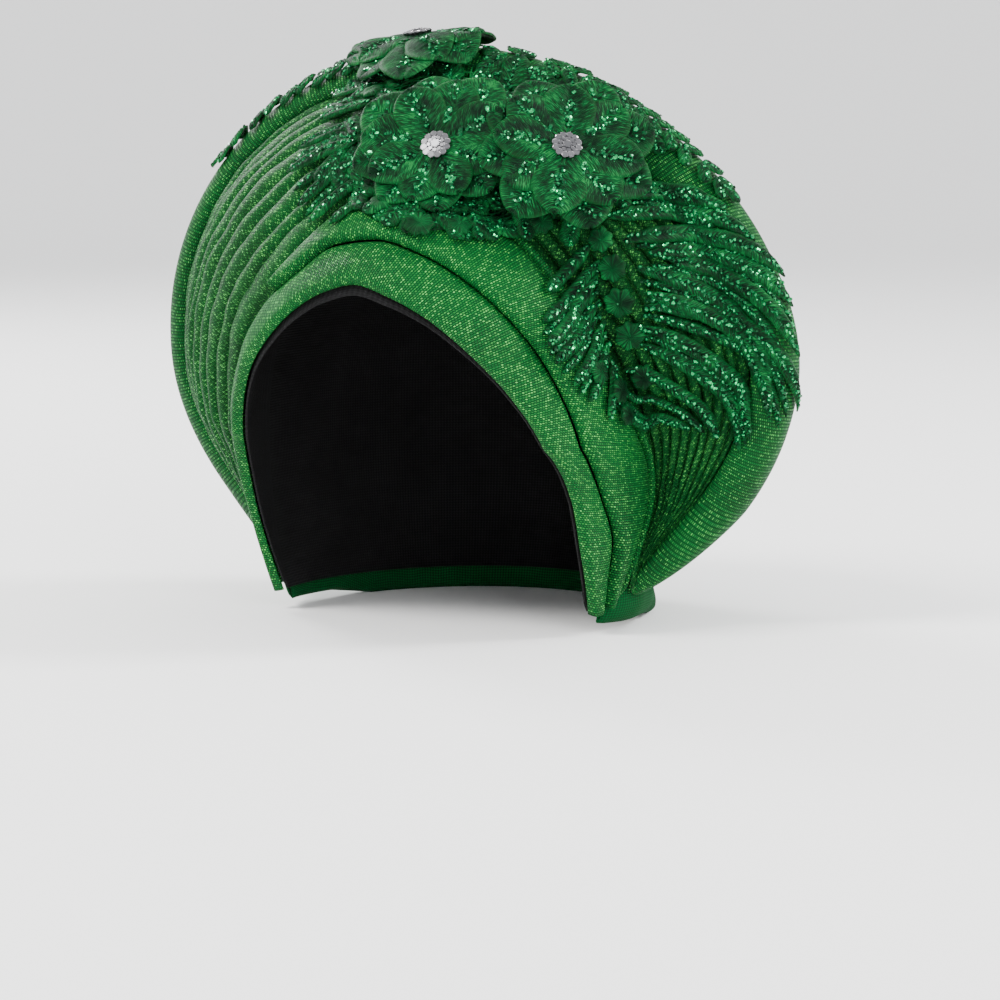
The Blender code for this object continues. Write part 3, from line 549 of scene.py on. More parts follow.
def gele_cloth(name, row, dash, slant, line, glow):
    """Ribbed lurex cloth: rows of short dashes across the cloth's length, with brighter rib lines and painted
    glints.

    Row and dash are their pitches in millimetres, slant bends the rows into chevrons, line is how far
    the brighter ribs join up into lines, partly the ribs' own lurex and partly a painted highlight along
    them, and glow how bright the threads are, set lower in the pleat copy as painted shade of the pleats.
    """
    finish = plain(name, THREAD_GREEN[:3], 0.5, gloss=0.08)
    tree = finish.node_tree
    run, width, body = chart_place(tree)
    warp = add(tree, "TexNoise", Vector=body, Scale=60.0, Detail=2.0)[0]
    along = calc(tree, "MULTIPLY", run, 1000.0)
    across = calc(tree, "MULTIPLY", width, 1000.0)
    lean = calc(tree, "PINGPONG", across, dash)
    along = calc(tree, "MULTIPLY_ADD", lean, slant, along)
    along = calc(tree, "MULTIPLY_ADD", warp, row * 0.9, along)
    rows = add(tree, "CombineXYZ", X=across, Y=along)[0]
    dashes = add(tree, "TexBrick", {"offset": 0.5, "offset_frequency": 2}, Vector=rows, Scale=1.0,
                 Color1=(0, 0, 0, 1), Color2=(1, 1, 1, 1), Mortar=(0, 0, 0, 1), Bias=0.0,
                 Mortar_Size=row * 0.30, Mortar_Smooth=1.0, Brick_Width=dash, Row_Height=row)
    loops = calc(tree, "SUBTRACT", 1.0, dashes[1])
    chance = add(tree, "SeparateColor", Color=dashes[0])[0]
    rib_wave = calc(tree, "SINE", calc(tree, "MULTIPLY", along, math.pi / row))
    rib = calc(tree, "POWER", calc(tree, "MULTIPLY_ADD", rib_wave, 0.5, 0.5), 4.0)
    bright = calc(tree, "MULTIPLY", loops, calc(tree, "MULTIPLY_ADD", rib, 0.45, 0.55))
    # Joined rib lines: partly the ribs' own brighter lurex, partly a painted highlight along them
    bright = calc(tree, "MAXIMUM", bright, calc(tree, "MULTIPLY", rib, line))
    cloud = add(tree, "TexNoise", Vector=body, Scale=34.0, Detail=3.0)[0]
    patch = calc(tree, "MULTIPLY_ADD", cloud, 1.4, -0.15)
    ground = blend_colour(tree, patch, DARK_GROUND, MID_GROUND)
    lively = calc(tree, "MULTIPLY_ADD", chance, 0.7, 0.25)
    thread = blend_colour(tree, calc(tree, "MULTIPLY", lively, patch), THREAD_GREEN, LUREX_GREEN)
    # glow sets how bright the threads are; its lower value in the pleat copy is painted shade
    colour = blend_colour(tree, calc(tree, "MULTIPLY", bright, glow), ground, thread)
    # Painted glints: a few random dashes lightened towards a near-white green in the base colour
    glint = calc(tree, "MULTIPLY", calc(tree, "MULTIPLY_ADD", calc(tree, "POWER", chance, 4.0), 0.55, 0.02),
                 calc(tree, "POWER", loops, 3.0))
    yarn = add(tree, "TexNoise", Vector=body, Scale=2600.0, Detail=1.0)[0]
    height = calc(tree, "MULTIPLY_ADD", yarn, 0.25, bright)
    return patterned(finish, {
        "Base Color": blend_colour(tree, glint, colour, PAINTED_GLINT_WHITE),
        "Roughness": calc(tree, "MULTIPLY_ADD", bright, -0.28, 0.62),
        "Metallic": calc(tree, "MULTIPLY", glint, 0.3),
        "Normal": relief(tree, height, 0.00035, 0.9)})


# The same gele cloth in three copies; the pleat copy's dimmer threads and fainter rib lines are painted shade
# of the pleats
BAND_CLOTH = gele_cloth("ribbed lurex band cloth", 1.0, 1.25, 0.0, 0.45, 0.85)
SHADED_PLEAT_CLOTH = gele_cloth("ribbed lurex pleat cloth", 0.9, 1.25, 0.8, 0.10, 0.42)
RIM_CLOTH = gele_cloth("ribbed lurex rim cloth", 1.0, 0.8, 0.0, 0.60, 0.65)


# Width and height of a knitted loop
LOOP_WIDTH = 0.0013
LOOP_HEIGHT = 0.0011


def knit(name, dark, light):
    """Fine knit: rows of loops, darker in soft patches."""
    finish = plain(name, light[:3], 0.85, gloss=0.10)
    tree = finish.node_tree
    run, width, body = chart_place(tree)
    across = calc(tree, "SINE", calc(tree, "MULTIPLY", run, 2 * math.pi / LOOP_WIDTH))
    along = calc(tree, "SINE", calc(tree, "MULTIPLY_ADD", calc(tree, "ABSOLUTE", across), 0.9,
                                    calc(tree, "MULTIPLY", width, 2 * math.pi / LOOP_HEIGHT)))
    loops = calc(tree, "MULTIPLY_ADD", calc(tree, "ADD", across, along), 0.25, 0.5)
    cloud = add(tree, "TexNoise", Vector=body, Scale=45.0, Detail=3.0)[0]
    level = calc(tree, "MULTIPLY", loops, calc(tree, "ADD", cloud, 0.35))
    return patterned(finish, {
        "Base Color": blend_colour(tree, level, dark, light), "Normal": relief(tree, loops, 0.0003, 0.8)})


NAPE_KNIT = knit("dark green knit", (0.0, 0.018, 0.004, 1), (0.0008, 0.085, 0.018, 1))
LINING_KNIT = knit("black lining knit", (0.002, 0.002, 0.002, 1), (0.013, 0.013, 0.014, 1))


# How far a stitch thread runs towards the tip for each length that it runs aside
THREAD_LEAN = 0.8


def satin_thread():
    """Satin stitch: fine threads that lean from the vein to the tip, dark with paler glimmers."""
    finish = plain("satin stitch thread", (0.001, 0.06, 0.015), 0.5, gloss=0.06)
    tree = finish.node_tree
    run, width, body = chart_place(tree)
    aside = calc(tree, "ABSOLUTE", width)
    thread = calc(tree, "MULTIPLY_ADD", aside, -THREAD_LEAN, run)
    across = calc(tree, "MULTIPLY", thread, 2600.0)
    along = calc(tree, "MULTIPLY", aside, 420.0)
    depth = add(tree, "SeparateXYZ", Vector=body)[2]
    strands = add(tree, "CombineXYZ", X=across, Y=along, Z=calc(tree, "MULTIPLY", depth, 60.0))[0]
    grain = add(tree, "TexNoise", Vector=strands, Scale=1.0, Detail=2.0, Roughness=0.6)[0]
    cloud = add(tree, "TexNoise", Vector=body, Scale=120.0, Detail=2.0)[0]
    edge = add(tree, "Attribute", {"attribute_name": "edge"})[2]
    level = calc(tree, "MULTIPLY_ADD", calc(tree, "SUBTRACT", cloud, 0.5), 0.5, grain)
    ramp = tree.nodes.new("ShaderNodeValToRGB")
    tree.links.new(level, ramp.inputs[0])
    stops = ramp.color_ramp.elements
    stops[0].position, stops[0].color = 0.40, (0.0000, 0.006, 0.002, 1)
    stops[1].position, stops[1].color = 0.72, (0.010, 0.16, 0.035, 1)
    middle = stops.new(0.55)
    middle.color = (0.0001, 0.036, 0.009, 1)
    colour = blend_colour(tree, calc(tree, "MULTIPLY", edge, 0.22), ramp.outputs[0], (0.015, 0.17, 0.035, 1))
    return patterned(finish, {"Base Color": colour, "Normal": relief(tree, grain, 0.0005, 1.0)})


def foil():
    """Emerald sequin foil, brighter and darker from one sequin to the next."""
    finish = plain("emerald sequin", (0.0, 0.40, 0.13), 0.12, 0.75)
    tree = finish.node_tree
    level = calc(tree, "POWER", cell_chance(tree, add(tree, "TexCoord")[3], 620.0), 2.2)
    colour = blend_colour(tree, level, (0.0, 0.035, 0.010, 1), (0.02, 0.45, 0.14, 1))
    return patterned(finish, {"Base Color": colour})


def crystal():
    """Cut crystal with painted reflections: facets painted near-black and near-white by turns."""
    finish = plain("cut crystal", (0.8, 0.8, 0.8), 0.12, 0.9)
    tree = finish.node_tree
    # Painted reflections: random cells of the stone painted from near-black to near-white
    level = calc(tree, "POWER", cell_chance(tree, add(tree, "TexCoord")[3], 1500.0), 1.5)
    colour = blend_colour(tree, level, (0.008, 0.008, 0.010, 1), (1.0, 0.95, 0.97, 1))
    return patterned(finish, {"Base Color": colour})


SATIN_THREAD = satin_thread()
SEQUIN = foil()
CRYSTAL_PAINTED_REFLECTIONS = crystal()
SILVER = plain("silver setting", (0.16, 0.16, 0.17), 0.3, 1.0)
FLOOR_PAPER = plain("pale floor", (0.93, 0.93, 0.93), 0.8, gloss=0.1)

# Across a band, from under its folded face edge to its far edge: share of its width, lift as a share
# of its fullness
BAND_TURN = (
    (0.00, 0.09, 0.03), (0.04, 0.03, 0.03), (0.08, 0.00, 0.12), (0.12, 0.00, 0.34), (0.16, 0.02, 0.62),
    (0.24, 0.10, 0.90), (0.42, 0.35, 1.00), (0.66, 0.68, 0.95), (0.82, 0.89, 0.74), (0.91, 0.975, 0.48),
    (0.96, 1.03, 0.30), (1.00, 1.07, 0.16),
)


def band_place(start, end, line, floor, fullness, settle):
    """Function that puts a band's grid in place between two lines of the wrapping."""
    def place(part, over):
        ring = mix(start, end, part)
        share, lift = read_table(BAND_TURN, over)
        low, high = wrap_line(ring, line), wrap_line(ring, line + 1)
        ripple = settle * math.sin(math.pi * over) * noise.noise(Vector((ring / 14, over * 1.7, line * 9.0)))
        return head_point(*between(low, high, share), floor + fullness * lift + ripple)
    return place


def brow_band():
    """Lower band, folded at its face edge, with its peak over the brow."""
    place = band_place(BAND_START, BAND_END, 0, BAND_FLOOR, BROW_BAND_FULLNESS, 0.0009)
    return sheet_piece("brow_band_cloth", "brow_band", (220, 34), place, BAND_CLOTH, 0.0007)


def cross_band():
    """Upper band, folded over the lower one."""
    place = band_place(BAND_START + 1, CROSS_BAND_END, 1, CROSS_FLOOR, CROSS_BAND_FULLNESS, 0.0008)
    return sheet_piece("cross_band_cloth", "cross_band", (190, 34), place, BAND_CLOTH, 0.0007)


# Round the tuck fold: place round it, share of its width, lift as a share of its fullness
TUCK_TURN = ((0.0, 0.0, 0.0), (0.25, 0.0, 0.82), (0.5, 0.45, 1.0), (0.78, 1.0, 0.72), (1.0, 1.0, 0.0))


def tuck_fold():
    """Narrow fold that shows outside the upper band."""
    def place(part, over):
        ground, out, aside = crown_edge(mix(BAND_START + 2, TUCK_FOLD_END - 2, part))
        share, lift = read_table(TUCK_TURN, over)
        ends = min(part, 1 - part, 0.04) / 0.04
        height = TUCK_FOLD_FULLNESS * lift * mix(0.3, 1.0, math.sin(math.pi / 2 * ends))
        return ground + out * (CROSS_FLOOR + height) + aside * (LAYER_GAP + TUCK_FOLD_WIDTH * share)
    return sheet_piece("tuck_fold_cloth", "tuck_fold", (150, 12), place, BAND_CLOTH, 0.0006)


# The fan's lower ends: ring angle over which they are drawn in, how far, the place on the head that
# they are drawn to, and how much smaller and how wide they end
DRAW_IN_RING = 17.0
DRAW_IN_SHARE = 0.94
EAR_TURN, EAR_RISE, EAR_LIFT = 92.0, -0.775, 0.0075
END_SHRINK = 0.50
END_REACH = 0.007
# Share of the outer cloth's run down the back that follows the drawn-in rim
BACK_FOLLOWS = 0.22


def clear_of_lining(point):
    """The place, moved out to just above the lining where it has sunk into it."""
    reach = math.hypot(point.x / (HEAD_HALF_WIDTH + CROSS_FLOOR), point.y / (HEAD_HALF_DEPTH + CROSS_FLOOR))
    if reach >= 1 or point.z > 0:
        return point
    return Vector((point.x / reach, point.y / reach, point.z))


def drawn_in(point, ring):
    """The fan's two lower ends are drawn in under the bands at the ears, and shrink as they go."""
    for end, turn in ((FAN_START, EAR_TURN), (FAN_END, -EAR_TURN)):
        near = 1 - min(abs(ring - end) / DRAW_IN_RING, 1.0)
        if near > 0:
            offset = (point - rim_roll(ring)[0]) * END_SHRINK
            if offset.length > END_REACH:
                offset = offset.normalized() * END_REACH
            ear = head_point(turn, EAR_RISE, EAR_LIFT)
            point = clear_of_lining(point.lerp(ear + offset, DRAW_IN_SHARE * near ** 1.5))
    return point


# Pleats, the steps across each one, and the steps of the fan's foot under the bands
FOLD_COUNT = 9
PLEAT_STEPS = 12
FOOT_STEPS = 4
GROOVE_DEPTH = 0.0022
FOOT_PART = FOOT_STEPS / (FOLD_COUNT * PLEAT_STEPS + FOOT_STEPS)


def pleat_profile(part):
    """Height of one pleat across its width: steep where it tucks under the next, rounded over."""
    return math.sin(math.pi * part ** 0.85) ** 0.5


def pleated_fan():
    """Rounded pleats that run round the head between the bands and the rim."""
    def place(part, over):
        ring = mix(FAN_START, FAN_END, part)
        if over < FOOT_PART:
            ground, out, _ = crown_edge(ring)
            foot = ground + out * (CROSS_FLOOR + 0.0002)
            return drawn_in(foot.lerp(fan_point(ring, 0.0, -GROOVE_DEPTH * 0.8), over / FOOT_PART), ring)
        over = (over - FOOT_PART) / (1 - FOOT_PART)
        within = (over * FOLD_COUNT) % 1.0 if over < 1.0 else 1.0
        index = min(int(over * FOLD_COUNT), FOLD_COUNT - 1)
        joint = round(over * FOLD_COUNT)
        waver = noise.noise(Vector((ring / 24, over * 7.3, 0.0))) * 0.22 / FOLD_COUNT
        share = over if joint in (0, FOLD_COUNT) else min(max(over + waver, 0.002), 0.998)
        narrow = pleat_height(ring) / PLEAT_HEIGHT
        swell = 1 + 0.25 * noise.noise(Vector((ring / 9, index * 5.1, 4.0)))
        rise = pleat_profile(within) * swell
        return drawn_in(fan_point(ring, share, narrow * mix(-GROOVE_DEPTH, PLEAT_HEIGHT * 0.75, rise)), ring)

    rows = FOLD_COUNT * PLEAT_STEPS + FOOT_STEPS
    return sheet_piece("pleated_fan_cloth", "pleated_fan", (290, rows), place, SHADED_PLEAT_CLOTH, 0.0005)


def back_point(ring, share):
    """Point on the outer cloth behind the rim: share 0 at the rim, 1 at the hem on the nape."""
    start = rim_point(ring, RIM_BACK_ANGLE)
    lean = math.radians(RIM_BACK_ANGLE)
    leave = outward(ring) * math.sin(lean) + Vector((0, math.cos(lean), 0))
    hem_turn = 180 - (90 - ring) * HEM_SWEEP / (90 - FAN_START)
    hem = head_point(hem_turn, HEM_RISE, CROSS_FLOOR + RIM_WALL)
    above = head_point(hem_turn, BACK_CREST_RISE, CROSS_FLOOR + RIM_WALL + BACK_FULLNESS)
    reach = (hem - start).length / 2
    first = start + leave * reach
    rest = 1 - share
    point = (start * rest ** 3 + first * (3 * rest ** 2 * share)
             + above * (3 * rest * share ** 2) + hem * share ** 3)
    phase = (ring - 90) * 360 * GATHER_COUNT / (FAN_END - FAN_START)
    fold = 1 + math.cos(math.radians(phase))
    fine = 1 + math.cos(math.radians(phase * 3 + 70 * math.sin(math.radians(phase / 2))))
    out = Vector((point.x, point.y, 0)).normalized()
    depth = GATHER_DEPTH * (fold * 2 * share ** 2 + fine * 0.7 * share ** 4) * (1 - share ** 6)
    return point + out * depth


# Shares of the rim's sheet at which its turned-in lip and its roll end, and how far the lip turns in
LIP_PART = 0.07
ROLL_PART = 0.30
LIP_INSET = 0.0046


def rim_wrap():
    """Rolled rim, turned in at its front edge, and the outer cloth that runs down the back to the nape."""
    def place(part, over):
        ring = mix(FAN_START, FAN_END, part)
        edge = rim_edge_angle(ring)
        if over < LIP_PART:
            turn = math.degrees(FAN_TUCK_REACH / (rim_roll(ring)[1] - RIM_WALL - LAYER_GAP)) + 5
            inwards = 1 - over / LIP_PART
            return drawn_in(rim_point(ring, edge + turn * inwards, LIP_INSET * inwards ** 1.6), ring)
        if over <= ROLL_PART:
            angle = mix(edge, RIM_BACK_ANGLE, (over - LIP_PART) / (ROLL_PART - LIP_PART))
            return drawn_in(rim_point(ring, angle), ring)
        share = (over - ROLL_PART) / (1 - ROLL_PART)
        point = back_point(ring, share)
        if share < BACK_FOLLOWS:
            point = clear_of_lining(point.lerp(drawn_in(point, ring), (1 - share / BACK_FOLLOWS) ** 2))
        return point

    return sheet_piece("rim_and_back_cloth", "rim_wrap", (330, 110), place, RIM_CLOTH, 0.0009)


# Across the nape roll, at its ends and at its middle: share of its width, rise, share of the band's wall
# that it stands over, lift as a share of its fullness
NAPE_ENDS = (
    (0.0, -0.55, 1.0, 0.0), (0.25, -0.68, 1.0, 0.25), (0.36, -0.75, 1.0, 0.62), (0.46, -0.80, 1.0, 0.92),
    (0.56, -0.86, 1.0, 1.05), (0.68, -0.92, 1.0, 0.90), (0.78, -0.96, 0.4, 0.45), (0.86, -0.95, 0.0, 0.10),
    (1.0, -0.86, 0.0, 0.0),
)
NAPE_MIDDLE = (
    (0.0, -0.55, 1.0, 0.0), (0.25, -0.80, 1.0, 0.0), (0.36, -0.875, 1.0, 0.05), (0.46, -0.90, 1.0, 0.72),
    (0.56, -0.94, 1.0, 1.0), (0.68, -0.98, 1.0, 0.76), (0.78, -1.00, 0.4, 0.30), (0.86, -0.985, 0.0, 0.08),
    (1.0, -0.88, 0.0, 0.0),
)
NAPE_START, NAPE_END = 84.0, 276.0


def nape_roll():
    """Soft knit roll of the cap below the hem."""
    def place(part, over):
        turn = mix(NAPE_START, NAPE_END, part)
        inwards = min(turn - NAPE_START, NAPE_END - turn)
        swell = math.sin(math.pi / 2 * min(inwards / 14.0, 1.0)) ** 0.7
        inner = min(max((inwards - 22.0) / 14.0, 0.0), 1.0)
        rows = zip(read_table(NAPE_ENDS, over), read_table(NAPE_MIDDLE, over))
        rise, flat, lift = (mix(end, middle, inner) for end, middle in rows)
        ripple = 0.0007 * noise.noise(Vector((turn / 7, over * 3, 2.0))) * lift
        height = BAND_TAIL_WALL * flat + (NAPE_CAP_FULLNESS * lift + ripple) * swell
        return head_point(turn, rise, BAND_FLOOR + height)
    return sheet_piece("nape_knit_roll", "nape_cap", (160, 40), place, NAPE_KNIT, 0.0006)


def face_rise(turn):
    """Rise of the bands' face edge at a turn, level round the nape behind the ears."""
    low, high = 90.0, BAND_START if turn > 0 else BAND_END
    if abs(turn) >= abs(wrap_line(high, 0)[0]):
        return wrap_line(high, 0)[1]
    for _ in range(30):
        middle = (low + high) / 2
        if abs(wrap_line(middle, 0)[0]) < abs(turn):
            low = middle
        else:
            high = middle
    return wrap_line(middle, 0)[1]


def lining():
    """Black lining cap that shows under the brow band and inside the hollow; its black strip under the brow
    peak is partly the cap and partly painted shade under the peak.
    """
    def place(part, over):
        turn = mix(-180.0, 180.0, part)
        # The black strip below the brow peak is partly painted shade under the peak
        shows = mix(-0.0006, LINING_AND_SHADE_STRIP, bell(turn, -6.0, 75.0))
        hem = max(face_rise(turn) - shows / HEAD_CROWN, LOWEST_HEM_RISE)
        return head_point(turn, mix(hem, 1.0, min(over, 0.9995)), FIT_GAP + LINING_WALL)

    return sheet_piece("black_lining", "inner_cap", (180, 60), place, LINING_KNIT, 0.0009,
                       closed=True)


# Lace leaves by place: root ring and share, tip ring and share, width, and how far it bows to the rim
LEAVES = {
    "spray_right_main": (
        (41.0, 0.47, 27.5, 1.10, 0.0062, 0.06), (34.9, 0.45, 14.2, 1.52, 0.0070, 0.12),
        (29.7, 0.54, 8.5, 1.51, 0.0070, 0.10), (26.0, 0.63, -0.8, 1.44, 0.0068, 0.10),
        (28.5, 0.42, -8.6, 1.17, 0.0066, 0.12), (23.1, 0.39, -13.1, 1.21, 0.0064, 0.10),
        (20.7, 0.35, -11.4, 1.57, 0.0066, 0.10), (17.6, 0.27, -17.9, 1.11, 0.0062, 0.06),
        (14.0, 0.22, -21.0, 1.07, 0.0058, 0.05)),
    "spray_right_middle": (
        (45.1, 0.52, 37.5, 1.06, 0.0058, 0.0), (44.0, 0.70, 33.0, 1.22, 0.0056, 0.05),
        (38.0, 0.72, 22.0, 1.36, 0.0060, 0.08), (43.0, 0.62, 29.5, 1.30, 0.0054, 0.06)),
    "spray_right_lower": (
        (34.6, 0.27, 28.3, -0.69, 0.0058, 0.0), (32.3, 0.20, 20.4, -0.93, 0.0060, 0.0),
        (27.7, 0.12, 14.8, -0.98, 0.0058, 0.0), (23.6, 0.09, 8.4, -0.89, 0.0056, 0.0),
        (19.5, 0.05, 4.3, -0.76, 0.0054, 0.0), (38.6, 0.27, 36.1, -0.33, 0.0052, 0.0),
        (15.6, 0.01, 0.2, -0.60, 0.0052, 0.0), (12.6, 0.03, -16.5, 0.77, 0.0054, 0.05),
        (6.6, -0.32, -10.6, 0.47, 0.0050, 0.04), (2.8, -0.38, -1.5, 0.10, 0.0046, 0.0)),
    "spray_left_inner": (
        (103.7, 0.45, 121.0, 0.47, 0.0064, 0.0), (104.7, 0.31, 124.7, 0.35, 0.0064, 0.0),
        (105.9, 0.20, 125.3, 0.14, 0.0060, 0.0), (105.2, 0.07, 124.8, 0.02, 0.0056, 0.0),
        (100.2, -0.20, 109.8, -0.70, 0.0056, 0.0), (102.5, 0.61, 115.2, 0.60, 0.0060, 0.0),
        (102.1, 0.85, 114.2, 0.84, 0.0060, 0.0)),
    "lace_ground": (
        (84.5, -0.44, 86.0, -0.88, 0.0090, 0.0), (90.0, -0.40, 97.0, -0.66, 0.0080, 0.0),
        (79.0, -0.46, 77.0, -0.90, 0.0080, 0.0), (68.0, -0.40, 62.0, -0.70, 0.0070, 0.0),
        (63.6, -0.21, 57.1, -0.50, 0.0070, 0.0), (56.4, 0.10, 49.2, 0.01, 0.0070, 0.0),
        (70.0, 0.92, 66.0, 1.30, 0.0110, 0.0), (77.0, 0.90, 78.0, 1.34, 0.0110, 0.0),
        (62.0, 1.00, 56.0, 1.30, 0.0100, 0.0), (88.0, 0.85, 92.0, 1.28, 0.0110, 0.0),
        (49.8, 0.30, 43.3, 0.26, 0.0060, 0.0), (97.0, 0.75, 104.0, 1.02, 0.0090, 0.0)),
}

# Fronds along the rim: spine rows of ring angle and share, then leaf length, leaf width and pair count
FRONDS = {
    "spray_left_outer": (((102, 1.26), (114, 1.33), (128, 1.36), (142, 1.38)), 0.0105, 0.0056, 11),
    "spray_right_upper": (((74, 1.38), (60, 1.40), (47, 1.40), (34, 1.42)), 0.0115, 0.0058, 11),
}

# Florets: the piece they belong to, ring angle, share and width
FLORETS = (
    ("spray_right_lower", 38.0, 0.34, 0.0085), ("spray_right_lower", 31.5, 0.30, 0.0095),
    ("spray_right_lower", 24.3, 0.22, 0.0105), ("spray_right_lower", 16.9, 0.17, 0.0105),
    ("spray_right_lower", 12.2, -0.42, 0.0085), ("spray_right_lower", 7.7, 0.13, 0.0090),
    ("spray_right_lower", 8.0, -0.22, 0.0090), ("spray_right_lower", 2.0, -0.30, 0.0080),
    ("lace_ground", 74.7, -0.72, 0.0105), ("lace_ground", 92.0, -0.50, 0.0085),
    ("lace_ground", 64.0, -0.52, 0.0080), ("lace_ground", 50.0, 0.12, 0.0080),
    ("lace_ground", 69.0, 0.72, 0.0100), ("lace_ground", 100.5, 0.00, 0.0080),
    ("spray_left_inner", 103.0, 0.72, 0.0085), ("spray_right_middle", 47.0, 0.86, 0.0085),
)

# Pitch of the stitches, and the places of the sequins by lace part, filled as the lace is made
STITCH = 0.00095
SEQUINS = {}


def leaf_outline(part):
    """Half width of a slender leaf along its length, as a share of its widest."""
    return min(1.0, (part / 0.16) ** 0.6) * min(1.0, ((1 - part) / 0.22) ** 0.55)


def petal_shape(part):
    """Half width of a broad petal along its length, as a share of its widest."""
    return math.sin(math.pi * min(part, 1.0) ** 1.35) ** 0.55 if part < 1 else 0.0


def thread_layers(form):
    """The form's thread chart and its edge layer, made where they are missing."""
    chart = form.loops.layers.uv.get("Cloth") or form.loops.layers.uv.new("Cloth")
    edge = form.verts.layers.float.get("edge") or form.verts.layers.float.new("edge")
    return chart, edge


def stitched(form, length, half_width, outline, pad, steps, put):
    """Add one satin-stitched leaf: two padded halves beside a vein, with threads leaning to the tip.

    put takes the share along the leaf, the way aside and the height, and gives the place.
    """
    chart, edge = thread_layers(form)
    along_steps = max(12, round(length / 0.0007))
    made = bmesh.ops.create_grid(form, x_segments=along_steps, y_segments=steps, size=1)["verts"]
    flat = {}
    seed = len(form.verts) * 0.37
    for vert in made:
        part, side = (vert.co.x + 1) / 2, vert.co.y
        forward = part * length
        fray = 0.00022 * noise.noise(Vector((forward * 1900, side * 3, seed)))
        reach = half_width * max(outline(part), 0.03) + fray * abs(side)
        aside = side * reach
        flat[vert] = forward, aside
        thread = (forward - THREAD_LEAN * abs(aside)) / STITCH
        ridge = 0.00010 * math.sin(2 * math.pi * thread) * (1 - side * side)
        dome = (1 - abs(side) ** 2.4) ** 0.5
        vein = 1 - 0.55 * bell(side, 0.0, 0.34)
        vert[edge] = abs(side) ** 6
        vert.co = put(part, aside, pad * dome * vein * (0.35 + 0.65 * outline(part)) + ridge)
    for face in {face for vert in made for face in vert.link_faces}:
        for loop in face.loops:
            loop[chart].uv = flat[loop.vert]


def sprinkle(group, place, out, along, radius, chance):
    """Sew a sequin at a place, a little tilted."""
    turn, tilt = chance.uniform(0, 6.3), chance.uniform(-0.7, 0.7)
    SEQUINS.setdefault(group, []).append((place, out, along, radius, turn, tilt))


# Stations along a leaf's way, and the pitch of its sequins
LEAF_STATIONS = 10
SEQUIN_PITCH = 0.0012


def way_frames(root, tip, bow, stations):
    """Points, directions forward, aside and out along a way on the lace surface."""
    places = []
    for index in range(stations + 1):
        part = index / stations
        share = mix(root[1], tip[1], part) + bow * math.sin(math.pi * part)
        places.append((mix(root[0], tip[0], part), min(max(share, -0.99), 1.95)))
    points = [dress_surface(*place) for place in places]
    rows = []
    for index, (ring, share) in enumerate(places):
        ahead, behind = points[min(index + 1, stations)], points[max(index - 1, 0)]
        out = dress_frame(ring, share)[3]
        forward = (ahead - behind - out * (ahead - behind).dot(out)).normalized()
        rows.append((points[index], forward, out.cross(forward), out))
    return rows


def add_leaf(form, group, root, tip, width, bow, lift, chance, pad=0.0013):
    """Slender stitched leaf on the lace surface from its root to its tip, with sequins along its vein."""
    rows = way_frames(root, tip, bow, LEAF_STATIONS)
    length = sum((start[0] - end[0]).length for start, end in zip(rows, rows[1:]))

    def put(part, aside, height):
        step = min(int(part * LEAF_STATIONS), LEAF_STATIONS - 1)
        rest = part * LEAF_STATIONS - step
        first, last = rows[step], rows[step + 1]
        point = first[0].lerp(last[0], rest)
        return point + first[2].lerp(last[2], rest) * aside + first[3].lerp(last[3], rest) * (height + lift)

    stitched(form, length, width / 2, leaf_outline, pad, 6, put)
    for index in range(int(length / SEQUIN_PITCH)):
        part = (index + chance.uniform(0.3, 1.3)) * SEQUIN_PITCH / length
        if part < 0.95:
            place = put(part, chance.uniform(-1, 1) * width * 0.20, pad * 0.9)
            out = rows[min(int(part * LEAF_STATIONS), LEAF_STATIONS - 1)][3]
            sprinkle(group, place, out, rows[0][1], chance.uniform(0.0006, 0.0011), chance)


def polar_place(frame, angle, side, rise):
    """Place at an angle and a distance round a frame's point, at a rise over it."""
    middle, along, across, out = frame
    return middle + along * (side * math.cos(angle)) + across * (side * math.sin(angle)) + out * rise


def wrap_chart(faces, chart, angles, radius, limit):
    """Chart the angles round a middle as the threads' run, unbroken where they start again."""
    for face in faces:
        turns = [angles[vert] for vert in face.verts]
        wraps = max(turns) - min(turns) > limit
        for loop in face.loops:
            turn = angles[loop.vert]
            loop[chart].uv = ((turn + 2 * math.pi if wraps and turn < 0 else turn) * radius, 0.0)


def add_floret(form, group, ring, share, width, lift, chance):
    """Round fluffy floret of radial threads."""
    chart, edge = thread_layers(form)
    frame = dress_frame(ring, share)
    made = bmesh.ops.create_uvsphere(form, u_segments=40, v_segments=10, radius=1)["verts"]
    angles = {}
    for vert in made:
        angle, height = math.atan2(vert.co.y, vert.co.x), vert.co.z
        reach = math.hypot(vert.co.x, vert.co.y)
        lobes = 1 + 0.10 * math.cos(angle * 7 + ring) + 0.06 * noise.noise(Vector((angle * 4, ring, 0)))
        spoke = 0.06 * math.sin(angle * 20) * reach
        angles[vert] = angle
        vert[edge] = reach ** 8 * 0.6
        rise = 0.0004 * height
        if height > 0:
            rise = 0.0010 * (height + spoke) * (1 - 0.5 * bell(reach, 0.0, 0.4))
        vert.co = polar_place(frame, angle, width / 2 * reach * lobes, lift + rise + 0.0004)
    wrap_chart({face for vert in made for face in vert.link_faces}, chart, angles, width / 2, 2.0)
    middle, along, across, out = frame
    for _ in range(3):
        spot = middle + along * chance.uniform(-0.0015, 0.0015) + across * chance.uniform(-0.0015, 0.0015)
        sprinkle(group, spot + out * (lift + 0.0013), out, along, chance.uniform(0.0006, 0.0009), chance)


